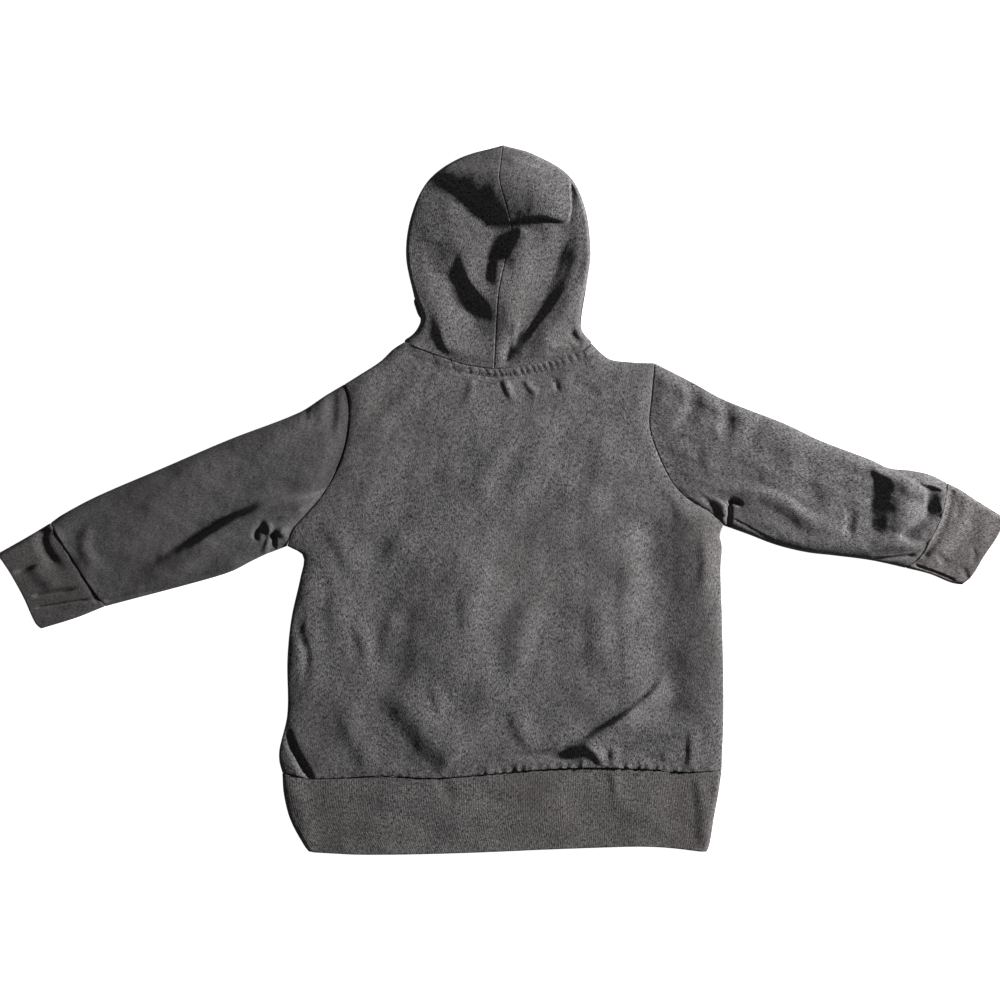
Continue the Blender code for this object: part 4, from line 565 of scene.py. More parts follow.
def nearest_on(plan, line):
    """For each plan point: the nearest of a line's points, how far along and how far left of it."""
    flat = plan.reshape(-1, 2)
    found = np.concatenate([((part[:, None] - line) ** 2).sum(axis=-1).argmin(axis=-1)
                            for part in np.array_split(flat, 1 + len(flat) // NEAREST_AT_ONCE)])
    offset, heading = flat - line[found], headings(line)[found]
    along = (heading * offset).sum(axis=1)
    across = heading[:, 0] * offset[:, 1] - heading[:, 1] * offset[:, 0]
    return found, along, across


def distance_to(plan, line):
    """Distance in plan from each point to a line of points; never below 0."""
    found, along, across = nearest_on(plan, line)
    beyond = np.where(found == 0, np.maximum(-along, 0.0), 0.0)
    beyond += np.where(found == len(line) - 1, np.maximum(along, 0.0), 0.0)
    return np.hypot(across, beyond).reshape(plan.shape[:-1])


def nearest_of(plan, lines):
    """Distance in plan from each point to the nearest of several lines."""
    return np.minimum.reduce([distance_to(plan, line) for line in lines])


def side_of(plan, line):
    """The same distance, above 0 on the line's left and below 0 on its right."""
    across = nearest_on(plan, line)[2].reshape(plan.shape[:-1])
    return distance_to(plan, line) * np.sign(across)


# ---------------------------------------------------------------- creases and soft waves
def flowing(knots, values, places):
    """Read a smooth curve through knots that never overshoots them; held level past its ends."""
    gaps = np.diff(knots, axis=0)
    slopes = np.diff(values, axis=0) / gaps
    product = slopes[:-1] * slopes[1:]
    same_way = product > 0.0
    middle = np.where(same_way, 2.0 * product / np.where(same_way, slopes[:-1] + slopes[1:], 1.0), 0.0)
    slopes = np.concatenate([slopes[:1], middle, slopes[-1:]])
    index = (places >= knots[1:-1]).sum(axis=0)[None]
    gap, start, end, leave, arrive, left = (
        np.take_along_axis(table, index + step, axis=0)[0]
        for table, step in ((gaps, 0), (values, 0), (values, 1), (slopes, 0), (slopes, 1), (knots, 0)))
    share = np.clip((places - left) / gap, 0.0, 1.0)
    return (start + (end - start) * eased(share) + gap * share * (1.0 - share)
            * ((1.0 - share) * leave - share * arrive))


def through_sections(plan, sections):
    """Height of a form at plan points, from sections across it: each a y and its (x, height) places."""
    table = np.array([section[1:] for section in sections][::-1])
    levels = np.array([section[0] for section in sections])[::-1, None]
    fine = np.linspace(levels[0, 0], levels[-1, 0], SECTION_SAMPLES)
    wanted = np.clip(plan[..., 1].ravel(), fine[0], fine[-1])
    knots = np.broadcast_to(levels, (len(levels), SECTION_SAMPLES))
    columns = []
    for column in range(table.shape[1]):
        for axis in (0, 1):
            values = np.broadcast_to(table[:, column, axis, None], knots.shape)
            columns.append(np.interp(wanted, fine, flowing(knots, values, fine)))
    columns = np.array(columns)
    return flowing(columns[0::2], columns[1::2], plan[..., 0].ravel()).reshape(plan.shape[:-1])


def relief(plan, folds):
    """Heights that the folds give to plan points."""
    rise = np.zeros(plan.shape[:-1])
    for fold in folds:
        line = smooth_line(fold.path, FOLD_STEPS)
        step = np.linalg.norm(line[1] - line[0])
        reach = max(fold.left, fold.right)
        near = ((plan > line.min(axis=0) - reach) & (plan < line.max(axis=0) + reach)).all(axis=-1)
        if not near.any():
            continue
        found, along, across = nearest_on(plan[near], line)
        along = (found + along / step) / FOLD_STEPS
        side = np.where(across > 0, fold.left, fold.right)
        profile = 0.5 + 0.5 * np.cos(np.pi * np.clip(np.abs(across) / side, 0.0, 1.0))
        fade = eased(along / fold.fade_in) * eased((1.0 - along) / fold.fade_out)
        rise[near] += fold.height * profile * fade
    return rise


def waves(plan, seed, length, stretch, direction):
    """Soft uneven waves of about the given length, drawn out along one direction; about -1 to 1."""
    chance = np.random.default_rng(seed)
    turned = np.radians(direction)
    first = (plan[..., 0] * np.cos(turned) + plan[..., 1] * np.sin(turned)) / stretch
    second = plan[..., 1] * np.cos(turned) - plan[..., 0] * np.sin(turned)
    total = np.zeros(plan.shape[:-1])
    for _ in range(WAVE_COUNT):
        angle, phase = chance.uniform(0.0, 2.0 * np.pi, 2)
        turns = 2.0 * np.pi / (length * chance.uniform(*WAVE_SHARES))
        total += np.cos(turns * (first * np.cos(angle) + second * np.sin(angle)) + phase)
    return total / np.sqrt(WAVE_COUNT)


def slack(plan, seed, amount, direction):
    """The small unevenness of washed cloth that lies slack, in millimetres."""
    return amount * sum(height * waves(plan, seed + number, length, stretch, direction)
                        for number, (height, length, stretch) in enumerate(SLACK_WAVES))


# ---------------------------------------------------------------- shells of cloth
def grid_quads(rows, columns, closed):
    """Quads of a grid of points stored row by row, closed into rings where asked."""
    row, column = np.mgrid[0:rows - 1, 0:columns if closed else columns - 1]
    beside = (column + 1) % columns
    corners = [row * columns + column, row * columns + beside,
               (row + 1) * columns + beside, (row + 1) * columns + column]
    return np.stack(corners, axis=-1).reshape(-1, 4)


def normals_of(grid, closed):
    """Unit normals of a grid of points, each the mean of the faces that meet there."""
    wrapped = np.concatenate([grid, grid[:, :1]], axis=1) if closed else grid
    face_normal = np.cross(wrapped[1:, 1:] - wrapped[:-1, :-1], wrapped[1:, :-1] - wrapped[:-1, 1:])
    total = np.zeros_like(wrapped)
    for rows in (slice(0, -1), slice(1, None)):
        for columns in (slice(0, -1), slice(1, None)):
            total[rows, columns] += face_normal
    if closed:
        total[:, 0] += total[:, -1]
        total = total[:, :-1]
    return total / np.maximum(np.linalg.norm(total, axis=-1), 1e-9)[..., None]


def calmed(normals, closed):
    """Normals averaged with their neighbours, so that a wall keeps clear of itself in tight folds."""
    for _ in range(NORMAL_PASSES):
        beside = normals.copy()
        beside[1:-1] += normals[:-2] + normals[2:]
        if closed:
            beside += np.roll(normals, 1, axis=1) + np.roll(normals, -1, axis=1)
        else:
            beside[:, 1:-1] += normals[:, :-2] + normals[:, 2:]
        normals = beside / np.maximum(np.linalg.norm(beside, axis=-1), 1e-9)[..., None]
    return normals


def lengths_along(grid, axis):
    """How far each point of a grid lies along its rows or columns, on average."""
    steps = np.linalg.norm(np.diff(grid, axis=axis), axis=-1).mean(axis=1 - axis)
    return np.concatenate([[0.0], np.cumsum(steps)])


def add_shell(name, outer, rim, wall, closed, material, raised=None):
    """Make a shell of cloth inside a grid of points: two faces a wall apart, and their rims.

    The rim is how far each point is from one; the wall is thinner and rounded off beside it.
    What is raised stands on the outer face alone. The shell's grain runs along the grid, in
    metres, as its texture map.
    """
    rows, columns = outer.shape[:2]
    normals = calmed(normals_of(outer, closed), closed)
    thickness = wall * np.maximum(RIM_SHARE, rounding(rim, LIP_WIDTH))
    middle = outer - 0.5 * np.broadcast_to(wall, rim.shape)[..., None] * normals
    face = middle + 0.5 * thickness[..., None] * normals
    if raised is not None:
        face = face + raised[..., None] * normals
    back = middle - 0.5 * thickness[..., None] * normals
    face[..., 2] = np.maximum(face[..., 2], 0.0)
    back[..., 2] = np.maximum(back[..., 2], FLOOR_CLEARANCE)
    layer = rows * columns
    quads = grid_quads(rows, columns, closed)
    parts = [quads, layer + quads[:, ::-1]]
    column = np.arange(columns if closed else columns - 1)
    beside = (column + 1) % columns
    last = (rows - 1) * columns
    parts.append(np.stack([beside, column, layer + column, layer + beside], axis=-1))
    parts.append(np.stack([last + column, last + beside, layer + last + beside, layer + last + column],
                          axis=-1))
    if not closed:
        here = np.arange(rows - 1) * columns
        above = here + columns
        parts.append(np.stack([here, above, layer + above, layer + here], axis=-1))
        here, above = here + columns - 1, above + columns - 1
        parts.append(np.stack([above, here, layer + here, layer + above], axis=-1))
    points = np.vstack([face.reshape(-1, 3), back.reshape(-1, 3)])
    across, along = np.meshgrid(lengths_along(outer, 1), lengths_along(outer, 0))
    grain = np.stack([across, along], axis=-1).reshape(-1, 2)
    return add_mesh(name, points, np.vstack(parts).tolist(), material, np.vstack([grain, grain]))


def add_mesh(name, points, faces, material, grain=None):
    """Make a smooth mesh object of points in millimetres."""
    mesh = bpy.data.meshes.new(name)
    mesh.from_pydata((points * MM).tolist(), [], faces)
    if grain is not None:
        layer = mesh.uv_layers.new(name="grain")
        corners = np.zeros(len(mesh.loops), dtype=np.int32)
        mesh.loops.foreach_get("vertex_index", corners)
        layer.data.foreach_set("uv", (grain * MM)[corners].ravel())
    mesh.shade_smooth()
    mesh.materials.append(material)
    piece = bpy.data.objects.new(name, mesh)
    bpy.context.collection.objects.link(piece)
    return piece


def sew_in(piece, node):
    """Let a piece stand for its solid: attach it to the body and hide the solid."""
    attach(piece, BODY)
    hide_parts(node)


# ---------------------------------------------------------------- materials
class Nodes:
    """The nodes of one material."""

    def __init__(self, name, colour):
        self.material = bpy.data.materials.new(name)
        self.material.use_nodes = True
        self.material.diffuse_color = (*colour, 1.0)
        self.tree = self.material.node_tree
        self.shader = self.tree.nodes["Principled BSDF"]
        self.coordinates = self.add("TexCoord").outputs

    def feed(self, socket, value):
        """Link the output of a node to a socket, or set the socket to a value."""
        if isinstance(value, bpy.types.NodeSocket):
            self.tree.links.new(value, socket)
        else:
            socket.default_value = value

    def feed_all(self, node, inputs):
        """Feed several inputs of a node, each by its name with _ for a space."""
        for name, value in inputs.items():
            self.feed(node.inputs[name.replace("_", " ")], value)

    def add(self, kind, operation=None, **inputs):
        """Add a node, and feed the inputs that are given."""
        node = self.tree.nodes.new("ShaderNode" + kind)
        if operation:
            node.operation = operation
        self.feed_all(node, inputs)
        return node

    def noise(self, scale, detail=2.0, roughness=0.5, source="Object", stretch=(1.0, 1.0, 1.0), turn=0.0):
        """Noise of about 1 / scale metres, drawn out where its stretch is under 1, and turned."""
        mapping = self.add("Mapping", Vector=self.coordinates[source], Scale=stretch,
                           Rotation=(0.0, 0.0, turn))
        return self.add("TexNoise", Vector=mapping.outputs["Vector"], Scale=scale, Detail=detail,
                        Roughness=roughness).outputs["Fac"]

    def spread(self, value, low, high, start=0.0, end=1.0):
        """Map a value from low..high to start..end, held at both ends."""
        return self.add("MapRange", Value=value, From_Min=low, From_Max=high, To_Min=start,
                        To_Max=end).outputs["Result"]

    def combine(self, operation, first, second):
        """Sum or product of two values, or of a value and a number."""
        node = self.add("Math", operation)
        for socket, value in zip(node.inputs, (first, second)):
            self.feed(socket, value)
        return node.outputs["Value"]

    def blend(self, share, first, second):
        """Mix two colours; each is a colour or the output of a node."""
        node = self.add("Mix")
        node.data_type = "RGBA"
        self.feed(node.inputs["Factor"], share)
        for name, value in (("A", first), ("B", second)):
            socket = next(item for item in node.inputs if item.name == name and item.type == "RGBA")
            self.feed(socket, (*value, 1.0) if isinstance(value, tuple) else value)
        return next(item for item in node.outputs if item.type == "RGBA")

    def scaled_by(self, colour, factor):
        """A colour times a value."""
        return self.add("VectorMath", "SCALE", Vector=colour, Scale=factor).outputs["Vector"]

    def along(self, axis):
        """One coordinate of the garment's own frame, in metres."""
        return self.add("SeparateXYZ", Vector=self.coordinates["Object"]).outputs[axis]


def scaled(colour, factor):
    """A lighter or darker shade of a colour."""
    return tuple(factor * part for part in colour)


def knit_material(name, colour, grain_strength, fleck_strength):
    """Washed, brushed knit: flecked fibres, faded patches along old creases, and a soft nap."""
    nodes = Nodes(name, colour)
    flecks = nodes.noise(FLECK_SCALE, detail=1.0, roughness=0.6)
    fibres = nodes.noise(FIBRE_SCALE, detail=1.0, source="UV", stretch=FIBRE_STRETCH)
    clumps = nodes.noise(CLUMP_SCALE, detail=3.0, roughness=0.6)
    fine = nodes.combine("MULTIPLY", nodes.combine("ADD", flecks, fibres), FLECK_SHARE)
    fleck = nodes.combine("ADD", fine, nodes.combine("MULTIPLY", clumps, 1.0 - 2.0 * FLECK_SHARE))
    darkest, lightest, light, dark = (1.0 + fleck_strength * (limit - 1.0)
                                      for limit in (FLECK_DARK, FLECK_LIGHT, PATCH_LIGHT, PATCH_DARK))
    base = nodes.blend(nodes.spread(fleck, *FLECK_RANGE), scaled(colour, darkest), scaled(colour, lightest))
    patches = nodes.noise(PATCH_SCALE, detail=4.0, roughness=0.6, stretch=PATCH_STRETCH, turn=PATCH_TURN)
    faded = nodes.scaled_by(base, nodes.spread(patches, *PATCH_RANGE, 1.0, light))
    stains = nodes.noise(STAIN_SCALE, detail=3.0, roughness=0.55)
    worn = nodes.scaled_by(faded, nodes.spread(stains, *STAIN_RANGE, 1.0, dark))
    tint = nodes.noise(TINT_SCALE)
    warm = tuple(part * shift for part, shift in zip(colour, WARM_SHIFT))
    toned = nodes.blend(nodes.spread(tint, *TINT_RANGE, 0.0, TINT_STRENGTH), worn, warm)
    shade = nodes.spread(nodes.along("Y"), HEM_SHADE_START, HEM_SHADE_END, 1.0, HEM_SHADE)
    nap = nodes.noise(NAP_SCALE, roughness=0.6)
    bump = nodes.add("Bump", Height=nodes.combine("ADD", nap, fibres), Distance=GRAIN_DEPTH,
                     Strength=grain_strength)
    nodes.feed_all(nodes.shader, {
        "Base Color": nodes.scaled_by(toned, shade),
        "Normal": bump.outputs["Normal"],
        "Roughness": nodes.spread(flecks, 0.3, 0.7, *ROUGHNESS_RANGE),
        "Specular IOR Level": SPECULAR,
        "Sheen Weight": SHEEN,
        "Sheen Roughness": SHEEN_ROUGHNESS,
        "Sheen Tint": (*scaled(colour, SHEEN_BRIGHTNESS), 1.0),
    })
    return nodes.material


def material_for(kind):
    """The material of one of the finishes, made once."""
    finish = FINISHES[kind]
    colour = scaled(getattr(bpy.context.scene.hoodie, finish.colour), finish.shade)
    name = "hoodie_" + kind
    return bpy.data.materials.get(name) or knit_material(name, colour, finish.grain, finish.flecks)


# ---------------------------------------------------------------- body panels
def body_lines(neck):
    """The four lines round a body panel: hem seam, shoulders and neck, and the two sides."""
    hem = smooth_line(HEM_SEAM, FINE * HEM_COLUMNS)
    left = joined(smooth_line(SIDE_LEFT, FINE * SIDE_ROWS)[::-1],
                  smooth_line(ARMHOLE_LEFT, FINE * ARMHOLE_ROWS)[::-1])
    right = joined(smooth_line(SIDE_RIGHT, FINE * SIDE_ROWS)[::-1],
                   smooth_line(ARMHOLE_RIGHT, FINE * ARMHOLE_ROWS)[::-1])
    top = joined(smooth_line(SHOULDER_LEFT, FINE * SHOULDER_COLUMNS), smooth_line(neck, FINE * NECK_COLUMNS),
                 smooth_line(SHOULDER_RIGHT, FINE * SHOULDER_COLUMNS)[::-1])
    return hem, top, left, right


def body_plan(neck, columns, rows):
    """A grid of plan points over a body panel, closer beside its seams."""
    hem, top, left, right = body_lines(neck)
    across = close_at_ends(columns, BODY_WIDTH)
    along = close_at_ends(rows, BODY_LENGTH)
    return shared_patch(at_places(hem, across), at_places(top, across), at_places(left, along),
                        at_places(right, along), across, along)


def neck_relief(plan, neck):
    """The turned-down neck seam: a raised band with puffs and slanted ticks, ended by its stitching."""
    below = distance_to(plan, neck)
    band = eased(below / NECK_BAND_RISE) * (1.0 - eased((below - NECK_BAND) / NECK_BAND_END + 1.0))
    groove = np.exp(-((below - NECK_BAND) / NECK_GROOVE_WIDTH) ** 2)
    full = eased((plan[..., 0] - NECK_FLAT_SIDE) / NECK_FULL_REACH)
    strength = NECK_FLATNESS + (1.0 - NECK_FLATNESS) * full
    rise = strength * (NECK_BAND_LIFT * band - NECK_GROOVE * groove)
    slanted = plan[..., 0] - NECK_TICK_SLANT * below
    inside = eased(0.5 * ((NECK_BAND - below) / NECK_BAND_END + 1.0))
    for place, depth in NECK_TICKS:
        rise -= depth * np.exp(-((slanted - place) / NECK_TICK_WIDTH) ** 2) * inside
    return rise


def hem_puckers(plan, hem):
    """Small upright puckers where the body is eased onto the hem band."""
    chance = np.random.default_rng(SEEDS["hem_puckers"])
    above = distance_to(plan, hem)
    rise = np.zeros(plan.shape[:-1])
    place = plan[..., 0].min()
    while place < plan[..., 0].max():
        strength = PUCKER_STRONG if PUCKER_START < place < PUCKER_END else PUCKER_WEAK
        height = strength * chance.uniform(*PUCKER_SHARES)
        width, length = chance.uniform(*PUCKER_WIDTHS), chance.uniform(*PUCKER_LENGTHS)
        offset = plan[..., 0] - place + chance.uniform(*PUCKER_LEANS) * above
        rise += height * np.exp(-(offset / width) ** 2) * eased(1.0 - above / length)
        place += chance.uniform(*PUCKER_SPACES)
    return rise * eased(above / PUCKER_RISE)


def corner_lift(plan, corners):
    """How much the back panel and the hood rise beside the ends of the neck; and how far the ends are."""
    away = np.minimum(*(np.linalg.norm(plan - corner, axis=-1) for corner in corners))
    return NECK_CORNER_LIFT * np.clip(1.0 - away / NECK_CORNER_REACH, 0.0, 1.0), away


def back_surface(plan, sizes):
    """The back panel's outer face over plan points, and how far each is from the panel's rim."""
    hem, top, left, right = body_lines(BACK_NECK)
    shoulder, side = FINE * SHOULDER_COLUMNS, FINE * SIDE_ROWS
    neck = top[shoulder:-shoulder]
    sides = (left[:side + 1], right[:side + 1], top[:shoulder + 1], top[-shoulder - 1:])
    armholes = (left[side:], right[side:])
    height = BODY_HEIGHT + relief(plan, BODY_FOLDS)
    height += slack(plan, SEEDS["back_panel"], sizes.slackness, BODY_SLACK_DIRECTION)
    height += neck_relief(plan, neck)
    for lines, seam_height, reach in (((hem,), HEM_SEAM_HEIGHT, HEM_REACH),
                                      ((neck,), NECK_HEIGHT, NECK_REACH),
                                      (armholes, ARMHOLE_HEIGHT, ARMHOLE_REACH),
                                      (sides, SIDE_HEIGHT, SIDE_REACH)):
        height = seam_height + (height - seam_height) * rounding(nearest_of(plan, lines), reach)
    height += hem_puckers(plan, hem) + corner_lift(plan, neck[[0, -1]])[0]
    return np.dstack([plan, height]), nearest_of(plan, (hem, neck, *armholes, *sides))


def add_back_cloth(sizes):
    """The back panel, with its neck seam, hem puckers and slack folds."""
    outer, rim = back_surface(body_plan(BACK_NECK, BODY_COLUMNS, BODY_ROWS), sizes)
    return add_shell("back_cloth", outer, rim, sizes.cloth_wall / MM, False, material_for("cloth"))


def add_front_cloth(sizes):
    """The front panel underneath, flat on the surface."""
    plan = body_plan(FRONT_NECK, FRONT_COLUMNS, FRONT_ROWS)
    outer = np.dstack([plan, np.full(plan.shape[:2], CLOTH)])
    rim = nearest_of(plan, body_lines(FRONT_NECK))
    return add_shell("front_cloth", outer, rim, sizes.cloth_wall / MM, False, material_for("cloth"))


# ---------------------------------------------------------------- sleeves, cuffs and hem band
def shifted_ends(line, start, end):
    """The same edge, with its two ends set on the seams that it runs between."""
    return [tuple(start)] + list(line[1:-1]) + [tuple(end)]


def tube_plan(start, end, first_edge, second_edge, along, shares):
    """Plan grid of a flattened tube, rows from its start line to its end line."""
    start, end = at_shares([start, end], [shares, shares])
    first = at_places(smooth_line(first_edge), along)
    second = at_places(smooth_line(second_edge), along)
    return shared_patch(start, end, first, second, shares, along)


def tube_rings(plan, crest, radius, edge_width):
    """Rings of a flattened tube, and how far their points are from its two ends.

    Each ring runs over the top layer, round its fold, back below, and round again.
    """
    first_gap = np.linalg.norm(plan - plan[:, :1], axis=-1)
    last_gap = np.linalg.norm(plan - plan[:, -1:], axis=-1)
    edge = rounding(np.minimum(first_gap, last_gap), edge_width)
    top = np.dstack([plan, radius + (crest - radius) * edge])
    widths = np.linalg.norm(np.diff(plan, axis=1), axis=-1).sum(axis=1)
    turns = np.linspace(0.0, 0.5 * np.pi, TURN_STEPS + 1)[1:]
    heights = np.concatenate([radius * (1.0 - np.sin(turns)), np.zeros(UNDER_COLUMNS - 1),
                              radius * (1.0 - np.sin(turns[::-1]))])
    shares = []
    for width in widths:
        turn = radius * (1.0 - np.cos(turns)) / width
        inside = np.linspace(1.0 - turn[-1], turn[-1], UNDER_COLUMNS + 1)[1:-1]
        shares.append(np.concatenate([1.0 - turn, inside, turn[::-1]]))
    under = at_shares(plan, shares)
    bottom = np.dstack([under, np.broadcast_to(heights, under.shape[:2])])
    rings = np.concatenate([top, bottom], axis=1)
    from_start = lengths_along(rings, 0)
    return rings, np.minimum(from_start, from_start[-1] - from_start)[:, None] * np.ones(rings.shape[1])


def add_sleeve_cloth(node, armhole, cuff_seam, edges, profile, folds, hump, sizes):
    """A sleeve: one flattened tube from its armhole to its cuff seam, with its folds and its hump."""
    across = close_at_ends(SLEEVE_COLUMNS, SLEEVE_WIDTH, EDGE_STEPS, EDGE_STEPS)
    along = close_at_ends(SLEEVE_ROWS, SLEEVE_LENGTH)
    plan = tube_plan(armhole, cuff_seam, shifted_ends(edges[0], armhole[0], cuff_seam[0]),
                     shifted_ends(edges[1], armhole[-1], cuff_seam[-1]), along, across)
    direction = np.degrees(np.arctan2(*(cuff_seam[0] - armhole[0])[::-1]))
    held = eased(along / SLEEVE_HOLD)[:, None] * eased((1.0 - along) / CUFF_HOLD)[:, None]
    rise = relief(plan, folds) + slack(plan, SEEDS[node], sizes.slackness, direction)
    crest = np.interp(along, *zip(*profile))[:, None] + held * rise
    if hump:
        crest += through_sections(plan, hump)
    rings, rim = tube_rings(plan, np.maximum(crest, LOWEST_CREST), FOLD_RADIUS, SLEEVE_EDGE_WIDTH)
    # the left sleeve gets painted shade: a darker copy of the cloth
    kind = "dark_cloth" if node == "left_sleeve" else "cloth"
    return add_shell(node + "_cloth", rings, rim, sizes.cloth_wall / MM, True, material_for(kind))


def add_rib_cloth(node, start, end, edges, height, rows, folds, sizes):
    """A doubled rib tube: upright ribs over its top layer, plain inside and underneath."""
    width = np.linalg.norm(np.diff(start, axis=0), axis=1).sum()
    rib_count = round(width * MM / sizes.rib_pitch)
    across = np.linspace(0.0, 1.0, rib_count * RIB_STEPS + 1)
    along = close_at_ends(rows, np.linalg.norm(start[len(start) // 2] - end[len(end) // 2]))
    plan = tube_plan(start, end, shifted_ends(edges[0], start[0], end[0]),
                     shifted_ends(edges[1], start[-1], end[-1]), along, across)
    crest = height + relief(plan, folds) + RIB_SLACK * slack(plan, SEEDS[node], sizes.slackness, 0.0)
    rings, rim = tube_rings(plan, np.maximum(crest, LOWEST_RIB_CREST), RIB_FOLD_RADIUS, RIB_EDGE_WIDTH)
    profile = (0.5 - 0.5 * np.cos(2.0 * np.pi * rib_count * across)) ** RIB_SHARPNESS
    uneven = 1.0 + RIB_UNEVENNESS * waves(plan, SEEDS[node] + RIB_SEED_STEP, RIB_WAVE, RIB_WAVE_STRETCH, 90.0)
    raised = np.zeros(rings.shape[:2])
    raised[:, :len(across)] = (sizes.rib_height / MM * profile * uneven
                               * eased(rim[:, :len(across)] / RIB_RISE))
    # the left cuff gets painted shade: a darker copy of the rib
    kind = "dark_rib" if node == "left_cuff" else "rib"
    return add_shell(node + "_rib", rings, rim, sizes.rib_wall / MM, True, material_for(kind), raised)


# ---------------------------------------------------------------- hood
def neck_seam_height(plan):
    """Height of the neck seam beside the back panel, which comes down to the side of the neck."""
    lift, away = corner_lift(plan, (BACK_NECK[0], BACK_NECK[-1]))
    return SIDE_HEIGHT + (NECK_HEIGHT - SIDE_HEIGHT) * rounding(away, SIDE_REACH) + lift


def hood_shares(lines, top_samples):
    """Where each row's points lie along it: close together where the hood turns under.

    Towards the crown, where the rows' top stretches run out, the points spread evenly.
    """
    lengths = np.linalg.norm(np.diff(lines, axis=1), axis=-1)
    turn = lengths[:, :top_samples].sum(axis=1, keepdims=True) / lengths.sum(axis=1, keepdims=True)
    even_top = close_at_ends(HOOD_TOP_COLUMNS, HOOD_HALF_WIDTH, last=EDGE_STEPS)
    top = HOOD_EVENNESS * even_top + (1.0 - HOOD_EVENNESS) * np.sin(0.5 * np.pi * even_top)
    under = 1.0 - np.cos(0.5 * np.pi * np.linspace(0.0, 1.0, HOOD_UNDER_COLUMNS + 1)[1:])
    turned = np.concatenate([turn * top, turn + (1.0 - turn) * under], axis=1)
    even = np.linspace(0.0, 1.0, turned.shape[1])
    from_crown = np.linspace(1.0, 0.0, len(lines))[:, None]
    spread = np.clip(1.0 - from_crown / CROWN_SHARE, 0.0, 1.0)
    return (1.0 - spread) * turned + spread * even, turn


def hood_relief(plan, sizes):
    """Heights over the hood: its lower part, and the crown that flops over it."""
    lower = through_sections(plan, HOOD_LOWER)
    crown = through_sections(plan, HOOD_CROWN)
    share = eased(0.5 + side_of(plan, smooth_line(CROWN_EDGE)) / CROWN_STEP)
    height = HOOD_BASE + lower + (crown - lower) * share + relief(plan, HOOD_FOLDS)
    return height + slack(plan, SEEDS["hood"], HOOD_SLACK * sizes.slackness, HOOD_SLACK_DIRECTION)


def add_hood_cloth(node, side, back_neck, front_neck, edge, face_edge, sizes):
    """Half of the hood: from the centre seam outwards, round its edge and under to the face."""
    along = close_at_ends(HOOD_ROWS, HOOD_LENGTH)
    fine_edge = smooth_line(edge)
    seam_line, edge_line, face_line = (
        at_places(line, along) for line in (smooth_line(HOOD_SEAM), fine_edge, smooth_line(face_edge)))
    from_neck_end = np.clip(1.0 - along[:, None] * HOOD_LENGTH / CORNER_EASE, 0.0, 1.0)
    for line, start in ((seam_line, back_neck[0]), (edge_line, back_neck[-1]), (face_line, front_neck[-1])):
        line += (start - line[0]) * from_neck_end
    crown = np.repeat(edge_line[-1:], HOOD_SAMPLES + 1, axis=0)
    even = np.linspace(0.0, 1.0, HOOD_SAMPLES + 1)
    top_plan = shared_patch(evenly(back_neck, HOOD_SAMPLES), crown, seam_line, edge_line, even, along)
    under_seam = np.linspace(edge_line[-1], face_line[-1], HOOD_SAMPLES + 1)
    sooner = 1.0 - (1.0 - along) ** NECK_HASTE
    under_plan = shared_patch(evenly(front_neck, HOOD_SAMPLES), under_seam, edge_line, face_line, even,
                              sooner)
    turn_height = np.interp(along[:, None], *zip(*HOOD_TURN_HEIGHTS))
    from_start = np.linalg.norm(under_plan - under_plan[:, :1], axis=-1)
    below = rounding(np.minimum(from_start, distance_to(under_plan, fine_edge)), turn_height)
    top = np.dstack([top_plan, np.broadcast_to(turn_height, top_plan.shape[:2])])
    lines = np.concatenate([top, np.dstack([under_plan, turn_height * (1.0 - below)])[:, 1:]], axis=1)
    shares, turn = hood_shares(lines, HOOD_SAMPLES)
    outer = at_shares(lines, shares)
    plan = outer[..., :2].copy()
    close = eased(distance_to(plan, smooth_line(BACK_NECK)) / HOOD_FOLD_REACH)
    height = neck_seam_height(plan) * (1.0 - close) + hood_relief(plan, sizes) * close
    edge_width = np.interp(along[:, None], *zip(*HOOD_EDGE_WIDTHS))
    height = turn_height + (height - turn_height) * rounding(distance_to(plan, fine_edge), edge_width)
    on_top = shares <= turn + 1e-9
    outer[..., 2] = np.where(on_top, np.maximum(height, turn_height), outer[..., 2])
    outer[..., 0] += side * SEAM_GAP / 2
    row_lengths = np.linalg.norm(np.diff(lines, axis=1), axis=-1).sum(axis=1)[:, None]
    rim = np.minimum(lengths_along(outer, 0)[:, None], row_lengths * np.minimum(shares, 1.0 - shares))
    from_corner = np.linalg.norm(outer[..., :2] - back_neck[-1], axis=-1)
    wall = sizes.cloth_wall / MM * np.clip(from_corner / CORNER_REACH, RIM_SHARE, 1.0)
    if side < 0:
        outer, rim, wall = outer[:, ::-1], rim[:, ::-1], wall[:, ::-1]
    return add_shell(node + "_cloth", outer, rim, wall, False, material_for("cloth"))


